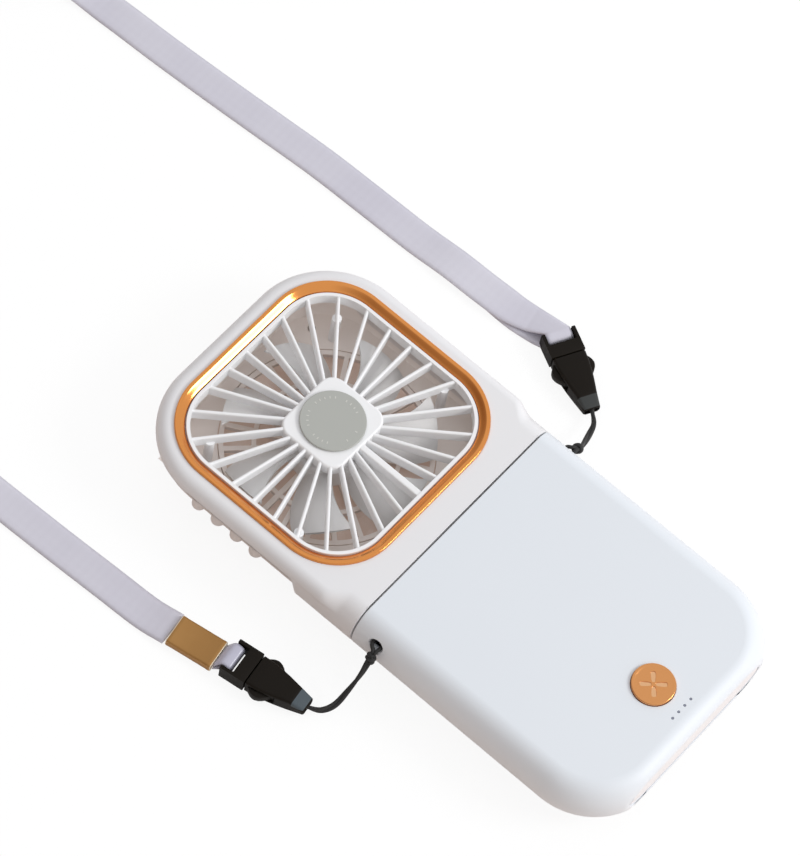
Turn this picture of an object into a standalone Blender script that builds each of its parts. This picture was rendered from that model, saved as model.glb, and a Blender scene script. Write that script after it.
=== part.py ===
"""Folding pocket fan with a battery body and a neck lanyard.

Metres, +Z up. The fan lies on its back on the floor at z = 0, unfolded.
The air comes out of the front at +Z, the head points to +Y and the battery body to -Y.
Everything is placed from the seam between head and body, at y = 0, and the last lines move
the whole fan so that its origin is on the floor under the middle of its length.
"""
import math

import bmesh
import bpy
from mathutils import Matrix, Vector

# Fits that several pieces share
CLEARANCE = 0.0003
OVERRUN = 0.002
WALL = 0.0016
THICKNESS = 0.0160
FOOT_HEIGHT = 0.0033

# Fan head
HEAD_WIDTH = 0.0800
HEAD_LENGTH = 0.0800
HEAD_CORNER = 0.02375
HEAD_EDGE_ROUND = 0.0033
LIP_DEPTH = 0.0040
SEAM_HALF_GAP = 0.0002
CHIN_LENGTH = 0.0190
CHIN_STEP = 0.0015
SOFT_EDGE_START = 0.0053
SOFT_EDGE_END = 0.0115

# Battery body
BODY_NARROWER = 0.0010
BODY_WIDTH = HEAD_WIDTH - BODY_NARROWER
BODY_LENGTH = 0.0821
BODY_CORNER = 0.0209
BODY_END_RUN_ON = 0.0020
SIDE_ROUND_ACROSS = 0.0065
PARTING_ABOVE_REAR = 0.0034

# Copper ring and the grilles
RING_FROM_SIDE = 0.00473
RING_FROM_END = 0.00468
RING_FROM_SEAM = 0.00774
RING_CORNER_TIGHTER = 0.00528
RING_HALF_X = HEAD_WIDTH / 2 - RING_FROM_SIDE
RING_HALF_Y = (HEAD_LENGTH - RING_FROM_SEAM - RING_FROM_END) / 2
RING_CORNER = HEAD_CORNER - RING_CORNER_TIGHTER
RING_BAND = 0.0033
RING_PROUD = 0.0007
RIM_INSET = 0.0042
RIB_COUNT = 28
RIB_WIDTH = 0.0012
WIRE_RIB_WIDTH = 0.0022
HUB_HALF_X = 0.0102
HUB_HALF_Y = 0.0092
HUB_CORNER = 0.0042
BADGE_RADIUS = 0.0088
BADGE_THICKNESS = 0.0005
REAR_WINDOW_MARGIN = 0.0004
REAR_SPOKE_COUNT = 24
REAR_SPOKE_WIDTH = 0.0013

# Fan and motor
BLADE_COUNT = 7
BLADE_TIP_INSET = 0.00539
BLADE_TIP_RADIUS = min(RING_HALF_X, RING_HALF_Y) - BLADE_TIP_INSET
REAR_WINDOW_RADIUS = BLADE_TIP_RADIUS + REAR_WINDOW_MARGIN
BLADE_THICKNESS = 0.0010
IMPELLER_HUB_RADIUS = 0.0120
ROTOR_RADIUS = 0.0095
STATOR_RADIUS = 0.0072
SHAFT_RADIUS = 0.0010

# Hinge
HINGE_LENGTH = 0.0520
HINGE_PIN_RADIUS = 0.0005
HINGE_LEAF_REACH = 0.0090
KNUCKLE_COUNT = 5

# Button and lamps
BUTTON_RADIUS = 0.0060
BUTTON_PROUD = 0.0008
BUTTON_FROM_END = 0.0155
BUTTON_FROM_SEAM = BODY_LENGTH - BUTTON_FROM_END
BUTTON_TRAVEL = 0.0006
LAMP_COUNT = 4
LAMP_SPACING = 0.00245
LAMP_FROM_END = 0.0061
LAMP_FROM_SEAM = BODY_LENGTH - LAMP_FROM_END
LAMP_RADIUS = 0.0004

# Lanyard
CORD_DIAMETER = 0.00105
RIBBON_WIDTH = 0.0100
RIBBON_THICKNESS = 0.0008
BUCKLE_LENGTH = 0.0241
BUCKLE_WIDTH = 0.0098
BUCKLE_THICKNESS = 0.0052
EYE_FROM_SEAM = 0.0072

# Levels that follow from the sizes above
REAR_Z = FOOT_HEIGHT + CLEARANCE
FRONT_Z = REAR_Z + THICKNESS
MID_Z = (REAR_Z + FRONT_Z) / 2
HALF_THICKNESS = THICKNESS / 2
PARTING_Z = REAR_Z + PARTING_ABOVE_REAR
AXIS_Z = FOOT_HEIGHT / 2
FLOOR_INSIDE_Z = REAR_Z + WALL
ROOF_INSIDE_Z = FRONT_Z - WALL
LIP_Z = FRONT_Z - LIP_DEPTH
FAN_Y = RING_FROM_SEAM + RING_HALF_Y
RIB_STEP = 2 * math.pi / RIB_COUNT

for old in list(bpy.data.objects):
    bpy.data.objects.remove(old, do_unlink=True)

parts = bpy.data.collections.new("portable_fan")
cutters = bpy.data.collections.new("cutters")
bpy.context.scene.collection.children.link(parts)
bpy.context.scene.collection.children.link(cutters)


# Helpers for finishes, placing and Booleans

def finish(name, colour, roughness, metallic=0.0):
    made = bpy.data.materials.new(name)
    made.use_nodes = True
    shader = made.node_tree.nodes["Principled BSDF"]
    shader.inputs["Base Color"].default_value = (*colour, 1.0)
    shader.inputs["Roughness"].default_value = roughness
    shader.inputs["Metallic"].default_value = metallic
    made.diffuse_color = (*colour, 1.0)
    return made


def pivot(name, place, heading=0.0, parent=None):
    """An empty that carries pieces, with its turn about Z."""
    carrier = bpy.data.objects.new(name, None)
    carrier.location = Vector(place) - (parent.location if parent else Vector())
    carrier.rotation_euler = (0.0, 0.0, heading)
    carrier.parent = parent
    parts.objects.link(carrier)
    bpy.context.view_layer.update()
    return carrier


def put(made, group, parent, place):
    """Link an object so that its mesh stands at place, measured along its carrier's axes."""
    group.objects.link(made)
    made.parent = parent
    made.location = Vector(place)
    if parent and parent.get("world_placed"):
        made.location = Vector(place) - parent.matrix_world.translation
    return made


def piece(name, mesh, look, parent=None, place=(0.0, 0.0, 0.0), flat=False):
    made = bpy.data.objects.new(name, mesh)
    put(made, parts, parent, place)
    mesh.materials.clear()
    mesh.materials.append(finish(name + "_finish", *look))
    if not flat:
        mesh.shade_smooth()
        mesh.set_sharp_from_angle(angle=math.radians(35))
    return made


def tool(name, mesh, parent=None, place=(0.0, 0.0, 0.0)):
    made = bpy.data.objects.new(name, mesh)
    put(made, cutters, parent, place)
    made.hide_render = True
    made.display_type = "WIRE"
    return made


def combine(target, other, operation, solver="EXACT"):
    step = target.modifiers.new(operation.lower() + "_" + other.name, "BOOLEAN")
    step.operation = operation
    step.solver = solver
    step.object = other


def cut(target, other, solver="EXACT"):
    combine(target, other, "DIFFERENCE", solver)


def join(target, other, solver="EXACT"):
    combine(target, other, "UNION", solver)


# Helpers for meshes

def mesh_of(shape, name):
    mesh = bpy.data.meshes.new(name)
    shape.to_mesh(mesh)
    shape.free()
    return mesh


def loft(name, rings, cap_first=True, cap_last=True, closed=False):
    """Skin a row of rings that have the same number of points."""
    shape = bmesh.new()
    rows = [[shape.verts.new(point) for point in ring] for ring in rings]
    count = len(rows[0])
    pairs = list(zip(rows, rows[1:]))
    if closed:
        pairs.append((rows[-1], rows[0]))
    for lower, upper in pairs:
        for i in range(count):
            j = (i + 1) % count
            shape.faces.new((lower[i], lower[j], upper[j], upper[i]))
    if cap_first and not closed:
        shape.faces.new(rows[0][::-1])
    if cap_last and not closed:
        shape.faces.new(rows[-1])
    bmesh.ops.recalc_face_normals(shape, faces=shape.faces[:])
    return mesh_of(shape, name)


def block(name, low, high):
    """A box between two corners."""
    shape = bmesh.new()
    bmesh.ops.create_cube(shape, size=1.0)
    low, high = Vector(low), Vector(high)
    bmesh.ops.scale(shape, vec=high - low, verts=shape.verts)
    bmesh.ops.translate(shape, vec=(low + high) / 2, verts=shape.verts)
    return mesh_of(shape, name)


def rod(name, radius, low, high, sides=20, along="Z"):
    """A cylinder round the origin's axis, from low to high along that axis."""
    shape = bmesh.new()
    bmesh.ops.create_cone(
        shape, cap_ends=True, segments=sides, radius1=radius, radius2=radius, depth=high - low)
    bmesh.ops.translate(shape, vec=(0.0, 0.0, (low + high) / 2), verts=shape.verts)
    if along == "X":
        turn = Matrix.Rotation(math.pi / 2, 3, "Y")
        bmesh.ops.rotate(shape, cent=(0.0, 0.0, 0.0), matrix=turn, verts=shape.verts)
    return mesh_of(shape, name)


def turned(name, profile, sides=32):
    """Turn a closed profile of (radius, z), listed down its outer side, about Z."""
    rings = []
    for i in range(sides):
        angle = 2 * math.pi * i / sides
        rings.append([(r * math.cos(angle), r * math.sin(angle), z) for r, z in profile])
    return loft(name, rings, closed=True)


def capped_turning(name, profile, sides=24):
    """Turn an open profile of (radius, z), which starts and ends flat on the axis."""
    rings = []
    for r, z in profile:
        angles = [2 * math.pi * i / sides for i in range(sides)]
        rings.append([(r * math.cos(a), r * math.sin(a), z) for a in angles])
    return loft(name, rings)


def plate(name, outline, holes, low, high):
    """A flat outline with holes, filled as a 2D curve and extruded from low to high."""
    drawing = bpy.data.curves.new(name, "CURVE")
    drawing.dimensions = "2D"
    drawing.fill_mode = "BOTH"
    drawing.extrude = (high - low) / 2
    for loop in [outline] + holes:
        spline = drawing.splines.new("POLY")
        spline.points.add(len(loop) - 1)
        for point, (x, y) in zip(spline.points, loop):
            point.co = (x, y, 0.0, 1.0)
        spline.use_cyclic_u = True
    holder = bpy.data.objects.new(name + "_drawing", drawing)
    cutters.objects.link(holder)
    holder.location = (0.0, 0.0, (low + high) / 2)
    return solid_from_curve(holder, name)


def tube(name, points, diameter):
    """A round tube along points, with filled ends."""
    drawing = bpy.data.curves.new(name, "CURVE")
    drawing.dimensions = "3D"
    drawing.bevel_depth = diameter / 2
    drawing.bevel_resolution = 2
    drawing.use_fill_caps = True
    spline = drawing.splines.new("POLY")
    spline.points.add(len(points) - 1)
    for point, place in zip(spline.points, points):
        point.co = (*place, 1.0)
    holder = bpy.data.objects.new(name + "_drawing", drawing)
    cutters.objects.link(holder)
    return solid_from_curve(holder, name)


def solid_from_curve(holder, name):
    """The closed mesh of a curve object, which is then removed."""
    bpy.context.view_layer.update()
    ready = holder.evaluated_get(bpy.context.evaluated_depsgraph_get())
    mesh = bpy.data.meshes.new_from_object(ready)
    mesh.name = name
    mesh.transform(holder.matrix_world)
    shape = bmesh.new()
    shape.from_mesh(mesh)
    bmesh.ops.remove_doubles(shape, verts=shape.verts, dist=CLEARANCE / 100)
    bmesh.ops.recalc_face_normals(shape, faces=shape.faces[:])
    shape.to_mesh(mesh)
    shape.free()
    drawing = holder.data
    bpy.data.objects.remove(holder)
    bpy.data.curves.remove(drawing)
    return mesh


def rounded(half_x, half_y, corner, steps=6, centre=(0.0, 0.0)):
    """A rectangle with round corners, as a ring of (x, y) points."""
    ring = []
    for quarter in range(4):
        side_x = (1, -1, -1, 1)[quarter]
        side_y = (1, 1, -1, -1)[quarter]
        for step in range(steps + 1):
            angle = math.pi / 2 * (quarter + step / steps)
            x = side_x * (half_x - corner) + corner * math.cos(angle)
            y = side_y * (half_y - corner) + corner * math.sin(angle)
            ring.append((centre[0] + x, centre[1] + y))
    return ring


def circle(radius, sides=32, centre=(0.0, 0.0)):
    angles = [2 * math.pi * i / sides for i in range(sides)]
    return [(centre[0] + radius * math.cos(a), centre[1] + radius * math.sin(a)) for a in angles]


def reach(half_x, half_y, corner, angle):
    """How far a rounded rectangle reaches from its centre at an angle."""
    dx, dy = abs(math.cos(angle)), abs(math.sin(angle))
    if dx * half_y > 0 and half_x / max(dx, 1e-9) * dy <= half_y - corner:
        return half_x / dx
    if half_y / max(dy, 1e-9) * dx <= half_x - corner:
        return half_y / dy
    along = dx * (half_x - corner) + dy * (half_y - corner)
    across = (half_x - corner) ** 2 + (half_y - corner) ** 2 - corner ** 2
    return along + math.sqrt(along ** 2 - across)


def blend(a, b, share):
    return a + (b - a) * share


def smooth(value, start, end):
    share = min(1.0, max(0.0, (value - start) / (end - start)))
    return share * share * (3 - 2 * share)


# Finishes, as colour, roughness and metallic
WHITE_SHELL = ((0.78, 0.80, 0.83), 0.42)
WARM_WHITE = ((0.72, 0.69, 0.66), 0.45)
GRILLE_WHITE = ((0.78, 0.76, 0.74), 0.40)
FAN_WHITE = ((0.66, 0.65, 0.64), 0.35)
COPPER = ((0.72, 0.33, 0.13), 0.18, 1.0)
BADGE_GREY = ((0.43, 0.44, 0.41), 0.50)
STEEL = ((0.55, 0.55, 0.56), 0.30, 1.0)
BLACK_PLASTIC = ((0.018, 0.015, 0.011), 0.45)
BLACK_CORD = ((0.010, 0.010, 0.010), 0.75)
RUBBER = ((0.30, 0.30, 0.30), 0.80)
RIBBON_LILAC = ((0.60, 0.57, 0.64), 0.45)
CELL_SILVER = ((0.45, 0.46, 0.48), 0.35)
BOARD_GREEN = ((0.03, 0.16, 0.07), 0.50)
COIL_COPPER = ((0.55, 0.24, 0.10), 0.35, 0.8)
LAMP_CLEAR = ((0.25, 0.30, 0.40), 0.20)

# Carriers on the joints' axes
head = pivot("head_fold_axis", (0.0, 0.0, AXIS_Z))
head["world_placed"] = True
fan = pivot("fan_spin_axis", (0.0, FAN_Y, AXIS_Z), parent=head)
fan["world_placed"] = True
button = pivot("button_axis", (0.0, -BUTTON_FROM_SEAM, FRONT_Z))
button["world_placed"] = True
FAN_PLACE = (0.0, FAN_Y, 0.0)
BUTTON_PLACE = (0.0, -BUTTON_FROM_SEAM, 0.0)


# Housings: rings round the plan outline, lofted from the parting line to the flat face

def pill(angle, wall=0.0):
    """Inset and height of the full-round side, or of its inside, at an angle from half height."""
    inset = wall + (SIDE_ROUND_ACROSS - wall) * (1 - math.cos(angle))
    return inset, MID_Z + (HALF_THICKNESS - wall) * math.sin(angle)


def pill_angle(z, wall=0.0):
    return math.asin((z - MID_Z) / (HALF_THICKNESS - wall))


def plan(half_width, length, corner, stations, arc_shares, direction):
    """Plan points from the seam's middle round one side, each with the way its inset moves it."""
    side = [(0.0, stations[0], 0.0, 0.0)]
    for y in stations:
        side.append((half_width, y, 1.0, 0.0))
    centre_x = half_width - corner
    centre_y = length - corner
    for share in arc_shares:
        angle = math.pi / 2 * share
        side_x, side_y = math.cos(angle), math.sin(angle)
        side.append((centre_x + corner * side_x, centre_y + corner * side_y, side_x, side_y))
    side.append((0.0, length, 0.0, 1.0))
    other = [(-x, y, -in_x, in_y) for x, y, in_x, in_y in side[1:-1]]
    ring = side + other[::-1]
    return [(x, direction * y, in_x, direction * in_y) for x, y, in_x, in_y in ring]


def open_shell(name, rings, look, parent=None):
    """A housing half: an open skin with a flat last ring, thickened inwards."""
    mesh = loft(name, rings, cap_first=False)
    lid = max(mesh.polygons, key=lambda face: face.area)
    outwards = 1 if rings[-1][0][2] > rings[0][0][2] else -1
    if lid.normal.z * outwards < 0:
        mesh.flip_normals()
    made = piece(name, mesh, look, parent)
    skin = made.modifiers.new("wall", "SOLIDIFY")
    skin.thickness = WALL
    skin.offset = -1.0
    skin.use_even_offset = True
    return made


BODY_HALF = BODY_WIDTH / 2
BODY_PLAN_LENGTH = BODY_LENGTH + BODY_END_RUN_ON
END_FLAT_SHARE = 2 / math.pi * math.asin(
    (BODY_LENGTH - BODY_PLAN_LENGTH + BODY_CORNER) / BODY_CORNER)
ARC_SHARES = [END_FLAT_SHARE * i / 5 for i in range(6)]
ARC_SHARES += [blend(END_FLAT_SHARE, 1.0, i / 2) for i in range(1, 3)]


def body_ring(angle, wall=0.0):
    """One ring of the body's outside, or of its hollow where there is a wall."""
    stations = (SEAM_HALF_GAP + wall, BODY_PLAN_LENGTH / 3)
    inset, z = pill(angle, wall)
    ring = []
    for x, y, in_x, in_y in plan(BODY_HALF, BODY_PLAN_LENGTH, BODY_CORNER, stations, ARC_SHARES, -1):
        ring.append((x - inset * in_x, max(y - inset * in_y, wall - BODY_LENGTH), z))
    return ring


def steps_between(first, last, count):
    return [blend(first, last, i / count) for i in range(count + 1)]


def body_half(name, rim, direction, steps):
    """A hollowed half of the body, from its rim to the flat face that direction points at."""
    face = direction * math.pi / 2
    outside = [body_ring(angle) for angle in steps_between(pill_angle(rim), face, steps)]
    inside = [body_ring(angle, WALL) for angle in steps_between(pill_angle(rim, WALL), face, steps)]
    mouth = [(x, y, z - direction * OVERRUN) for x, y, z in inside[0]]
    made = piece(name, loft(name, outside), WHITE_SHELL)
    cut(made, tool(name + "_hollow", loft(name + "_hollow", [mouth] + inside)))
    return made


body_front = body_half("body_front_shell", PARTING_Z + CLEARANCE, 1, 7)
body_rear = body_half("body_rear_shell", PARTING_Z, -1, 4)


def trim_rim(shell, parent, direction, length):
    """Cut the rim of a rear shell flat at the parting line, over a length from the seam."""
    y = sorted((-direction * OVERRUN, direction * length))
    above = block("rim_trim", (-HEAD_WIDTH, y[0], PARTING_Z), (HEAD_WIDTH, y[1], FRONT_Z))
    cut(shell, tool("rim_trim", above, parent), "MANIFOLD")


# Head housing: the side changes from the full-round chin to a thin lip over an inset bowl
HEAD_HALF = HEAD_WIDTH / 2
CHIN_INSET = HEAD_HALF - BODY_HALF
BOWL_INSET_SHARES = (0.0, 0.04, 0.17, 0.32, 0.53, 1.0)
BOWL_HEIGHT_SHARES = (1.0, 0.72, 0.55, 0.38, 0.17, 0.0)
BOWL_TOP_INSET = 0.0013
BOWL_REAR_INSET = 0.0066
ROUND_LEVELS = 5
SOFT_FRONT_START_SHARE = 0.28
LIP_LEVEL_SHARES = (0.0, 0.33, 0.67)


def chin_level(angle):
    inset, z = pill(angle)
    return inset + CHIN_INSET, z


def edge_level(share):
    angle = math.pi / 2 * share
    inset = HEAD_EDGE_ROUND * (1 - math.cos(angle))
    return inset, FRONT_Z - HEAD_EDGE_ROUND * (1 - math.sin(angle))


FRONT_PARTING_ANGLE = pill_angle(PARTING_Z + CLEARANCE)
chin_soft = [chin_level(FRONT_PARTING_ANGLE * share) for share in (1.0, 0.5, 0.0)]
chin_soft += [chin_level(math.pi / 2 * share)
              for share in steps_between(SOFT_FRONT_START_SHARE, 1.0, ROUND_LEVELS)]
chin_tight = chin_soft[:3] + [edge_level(i / ROUND_LEVELS) for i in range(ROUND_LEVELS + 1)]
lip = [(0.0, blend(LIP_Z, FRONT_Z - HEAD_EDGE_ROUND, share)) for share in LIP_LEVEL_SHARES]
lip += chin_tight[3:]
rear_angles = steps_between(FRONT_PARTING_ANGLE, -math.pi / 2, len(BOWL_INSET_SHARES) - 1)
chin_rear = [chin_level(angle) for angle in rear_angles]
bowl = []
for inset_share, height_share in zip(BOWL_INSET_SHARES, BOWL_HEIGHT_SHARES):
    bowl.append((blend(BOWL_TOP_INSET, BOWL_REAR_INSET, inset_share),
                 blend(REAR_Z, LIP_Z - CLEARANCE, height_share)))


def head_plan(step_start):
    stations = [SEAM_HALF_GAP, SOFT_EDGE_START, blend(SOFT_EDGE_START, SOFT_EDGE_END, 1 / 3)]
    stations += [blend(SOFT_EDGE_START, SOFT_EDGE_END, 2 / 3), SOFT_EDGE_END]
    stations += [step_start + CHIN_STEP * i / 3 for i in range(4)]
    arc = [i / 6 for i in range(7)]
    return plan(HEAD_HALF, HEAD_LENGTH, HEAD_CORNER, stations, arc, 1)


def head_rings(profiles, step_start):
    """Rings whose inset and height pass from the chin's profiles to the last one along y."""
    soft, tight, last = profiles
    rings = []
    for level in range(len(last)):
        ring = []
        for x, y, in_x, in_y in head_plan(step_start):
            early = smooth(y, SOFT_EDGE_START, SOFT_EDGE_END)
            late = smooth(y, step_start, step_start + CHIN_STEP)
            inset = blend(blend(soft[level][0], tight[level][0], early), last[level][0], late)
            z = blend(blend(soft[level][1], tight[level][1], early), last[level][1], late)
            ring.append((x - inset * in_x, y - inset * in_y, z))
        rings.append(ring)
    return rings


head_front = open_shell(
    "head_front_shell", head_rings((chin_soft, chin_tight, lip), CHIN_LENGTH), WARM_WHITE, head)
REAR_STEP_START = CHIN_LENGTH + CLEARANCE * 4 / 3
head_rear = open_shell(
    "head_rear_shell", head_rings((chin_rear, chin_rear, bowl), REAR_STEP_START), WARM_WHITE, head)

trim_rim(head_rear, head, 1, REAR_STEP_START)

# Grip ridges on the bowl, beside the lip
RIDGE_RADIUS = 0.0018
RIDGE_STEP = 0.0065
RIDGE_PROUD = 0.0015
RIDGE_LENGTH = 0.0066
RIDGE_ROUND = 0.0010
ridge_x = HEAD_HALF - BOWL_TOP_INSET + RIDGE_PROUD - RIDGE_RADIUS
ridge_top = LIP_Z - CLEARANCE * 2
for side in (-1, 1):
    for step in (-1.5, -0.5, 0.5, 1.5):
        mesh = rod("ridge", RIDGE_RADIUS, ridge_top - RIDGE_LENGTH, ridge_top, sides=10)
        ridge = tool("ridge", mesh, head, (side * ridge_x, FAN_Y + step * RIDGE_STEP, 0.0))
        soften = ridge.modifiers.new("round_ends", "BEVEL")
        soften.width = RIDGE_ROUND
        soften.segments = 1
        soften.angle_limit = math.radians(60)
        join(head_rear, ridge)

# Window in the head's face, and the copper ring that fills its edge
window_outline = rounded(
    RING_HALF_X + CLEARANCE, RING_HALF_Y + CLEARANCE, RING_CORNER + CLEARANCE, steps=7)
window = plate("ring_window", window_outline, [], LIP_Z - OVERRUN, FRONT_Z + OVERRUN)
cut(head_front, tool("ring_window", window, head, FAN_PLACE))

RING_SEAT_Z = ROOF_INSIDE_Z
RING_TOP_Z = FRONT_Z + RING_PROUD
RING_PROFILE_SHARES = ((0.0, 0.0), (0.0, 0.80), (0.10, 0.95), (0.25, 1.0), (0.42, 0.97),
                       (1.0, 0.42), (1.0, 0.0))
ring_loops = []
for across_share, height_share in RING_PROFILE_SHARES:
    inset = RING_BAND * across_share
    z = blend(RING_SEAT_Z, RING_TOP_Z, height_share)
    loop = rounded(RING_HALF_X - inset, RING_HALF_Y - inset, RING_CORNER - inset, steps=7)
    ring_loops.append([(x, y, z) for x, y in loop])
piece("copper_trim_ring", loft("copper_trim_ring", ring_loops, closed=True), COPPER, head, FAN_PLACE)

# Front grille: fins from a square hub to the rim, a flange under the face and four screw posts
GRILLE_TOP_Z = FRONT_Z - CLEARANCE
GRILLE_BOTTOM_Z = LIP_Z
FLANGE_TOP_Z = RING_SEAT_Z - CLEARANCE
FLANGE_REACH = 0.0012
POST_RADIUS = 0.0019
POST_INSET = 0.00179
POST_FROM_CENTRE = min(RING_HALF_X, RING_HALF_Y) - POST_INSET
POST_RIBS = (3, 11, 16, 26)
SCREW_RADIUS = 0.0009
WIRE_RIB = 21
rim_out = RING_BAND + CLEARANCE
rim_size = (RING_HALF_X - RIM_INSET, RING_HALF_Y - RIM_INSET, RING_CORNER - RIM_INSET)
hub_size = (HUB_HALF_X, HUB_HALF_Y, HUB_CORNER)


def rib_half(index):
    width = WIRE_RIB_WIDTH if index % RIB_COUNT == WIRE_RIB else RIB_WIDTH
    return width / 2


def gap_side(size, index, steps):
    """Points along the hub or the rim, between two neighbouring ribs."""
    low, high = index * RIB_STEP, (index + 1) * RIB_STEP
    first = low + math.asin(rib_half(index) / reach(*size, low))
    last = high - math.asin(rib_half(index + 1) / reach(*size, high))
    points = []
    for step in range(steps + 1):
        angle = blend(first, last, step / steps)
        radius = reach(*size, angle)
        points.append((radius * math.cos(angle), radius * math.sin(angle)))
    return points


gaps = []
for index in range(RIB_COUNT):
    gaps.append(gap_side(hub_size, index, 1) + gap_side(rim_size, index, 2)[::-1])
grille_outline = rounded(RING_HALF_X - rim_out, RING_HALF_Y - rim_out, RING_CORNER - rim_out)
front_grille = piece(
    "front_grille", plate("front_grille", grille_outline, gaps, GRILLE_BOTTOM_Z, GRILLE_TOP_Z),
    GRILLE_WHITE, head, FAN_PLACE, flat=True)
flange_out = rounded(RING_HALF_X + FLANGE_REACH, RING_HALF_Y + FLANGE_REACH, RING_CORNER + FLANGE_REACH)
flange_inset = (rim_out + RIM_INSET) / 2
flange_in = rounded(RING_HALF_X - flange_inset, RING_HALF_Y - flange_inset, RING_CORNER - flange_inset)
flange_low = GRILLE_BOTTOM_Z + CLEARANCE
flange = tool("grille_flange", plate("grille_flange", flange_out, [flange_in], flange_low, FLANGE_TOP_Z),
              head, FAN_PLACE)
join(front_grille, flange, "MANIFOLD")


# Screws from the rear: a recess in the floor, a hole, and a post that takes the thread
SCREW_HEAD_RADIUS = 0.0016
SCREW_HEAD_HEIGHT = 0.0005
RECESS_DEPTH = 0.0010
SCREW_LENGTH = 0.0085
COARSE = 12


def rear_screw(name, place, shell, post_owner, parent):
    """Drill the floor of a shell and the post above it, and add the screw."""
    seat = REAR_Z + RECESS_DEPTH
    hole = SCREW_RADIUS + CLEARANCE
    tip = FLOOR_INSIDE_Z + SCREW_LENGTH
    recess = tool(name + "_recess", rod(
        "recess", SCREW_HEAD_RADIUS + CLEARANCE, REAR_Z - OVERRUN, seat, COARSE), parent, place)
    cut(shell, recess)
    drill = tool(name + "_hole", rod("hole", hole, REAR_Z - OVERRUN, tip + CLEARANCE, COARSE), parent, place)
    cut(shell, drill)
    cut(post_owner, drill)
    top = seat - CLEARANCE
    profile = [(SCREW_HEAD_RADIUS, top - SCREW_HEAD_HEIGHT), (SCREW_HEAD_RADIUS, top),
               (SCREW_RADIUS, top), (SCREW_RADIUS, tip)]
    piece(name, capped_turning(name, profile, COARSE), STEEL, parent, place)


for index, rib in enumerate(POST_RIBS):
    x = POST_FROM_CENTRE * math.cos(rib * RIB_STEP)
    y = FAN_Y + POST_FROM_CENTRE * math.sin(rib * RIB_STEP)
    mesh = rod("grille_post", POST_RADIUS, FLOOR_INSIDE_Z + CLEARANCE, GRILLE_BOTTOM_Z + RIB_WIDTH, COARSE)
    join(front_grille, tool("grille_post", mesh, head, (x, y, 0.0)))
    rear_screw("head_screw_" + str(index + 1), (x, y, 0.0), head_rear, front_grille, head)

BODY_POST_RADIUS = 0.0024
NEAR_POST_FROM_SIDE = 0.0100
NEAR_POST_FROM_SEAM = 0.0130
FAR_POST_FROM_SIDE = 0.0135
FAR_POST_FROM_END = 0.0181
body_posts = ((BODY_HALF - NEAR_POST_FROM_SIDE, NEAR_POST_FROM_SEAM),
              (BODY_HALF - FAR_POST_FROM_SIDE, BODY_LENGTH - FAR_POST_FROM_END))
screw_number = 0
for x, from_seam in body_posts:
    for side in (-1, 1):
        screw_number += 1
        place = (side * x, -from_seam, 0.0)
        mesh = rod("body_post", BODY_POST_RADIUS, FLOOR_INSIDE_Z + CLEARANCE,
                   ROOF_INSIDE_Z + WALL / 2, COARSE)
        join(body_front, tool("body_post", mesh, None, place))
        rear_screw("body_screw_" + str(screw_number), place, body_rear, body_front, None)

# Badge disc on the grille's hub
badge_low = GRILLE_TOP_Z + CLEARANCE
badge_profile = [(BADGE_RADIUS, badge_low), (BADGE_RADIUS, badge_low + BADGE_THICKNESS / 2),
                 (BADGE_RADIUS - BADGE_THICKNESS / 2, badge_low + BADGE_THICKNESS)]
piece("grille_badge", capped_turning("grille_badge", badge_profile, 32), BADGE_GREY, head, FAN_PLACE)

# Rear grille: radial slots in two rows round the motor's seat
REAR_MID_SHARE = 0.4667
REAR_MID_WIDTH = 0.0012
REAR_SEAT_RADIUS = 0.0108
REAR_MID_RADIUS = blend(REAR_SEAT_RADIUS, REAR_WINDOW_RADIUS, REAR_MID_SHARE)
REAR_RIM_WIDTH = 0.0016
rear_hole = tool("rear_window", rod(
    "rear_window", REAR_WINDOW_RADIUS, REAR_Z - OVERRUN, FLOOR_INSIDE_Z + OVERRUN, 40), head, FAN_PLACE)
cut(head_rear, rear_hole)
slots = []
spoke_step = 2 * math.pi / REAR_SPOKE_COUNT
rows = ((REAR_SEAT_RADIUS, REAR_MID_RADIUS - REAR_MID_WIDTH / 2),
        (REAR_MID_RADIUS + REAR_MID_WIDTH / 2, REAR_WINDOW_RADIUS - REAR_RIM_WIDTH))
for index in range(REAR_SPOKE_COUNT):
    for row, (inner, outer) in enumerate(rows):
        loop = []
        for radius, order in ((inner, 1), (outer, -1)):
            lean = math.asin(REAR_SPOKE_WIDTH / 2 / radius)
            angles = steps_between(index * spoke_step + lean, (index + 1) * spoke_step - lean, row + 1)
            loop += [(radius * math.cos(a), radius * math.sin(a)) for a in angles[::order]]
        slots.append(loop)
rear_disc = circle(REAR_WINDOW_RADIUS - CLEARANCE, 40)
piece("rear_grille", plate("rear_grille", rear_disc, slots, REAR_Z, FLOOR_INSIDE_Z),
      WARM_WHITE, head, FAN_PLACE, flat=True)

# Motor: a wound stator on the rear grille, a cup rotor over it and a shaft through both
SLOT_SHARE = 0.78
POLE_COUNT = 9
ROTOR_WALL = 0.0016
ROTOR_ROOF = 0.0010
STATOR_HEIGHT = 0.0054
ROTOR_SKIRT_GAP = 0.0010
HUB_ROOF = 0.0018
motor_low = FLOOR_INSIDE_Z + CLEARANCE
stator_top = motor_low + STATOR_HEIGHT
pole_outline = []
for index in range(POLE_COUNT * 4):
    angle = 2 * math.pi * index / (POLE_COUNT * 4)
    radius = STATOR_RADIUS * (1.0 if index % 4 < 2 else SLOT_SHARE)
    pole_outline.append((radius * math.cos(angle), radius * math.sin(angle)))
shaft_hole = circle(SHAFT_RADIUS + CLEARANCE, 16)
piece("motor_stator", plate("motor_stator", pole_outline, [shaft_hole], motor_low, stator_top),
      COIL_COPPER, head, FAN_PLACE, flat=True)

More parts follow.
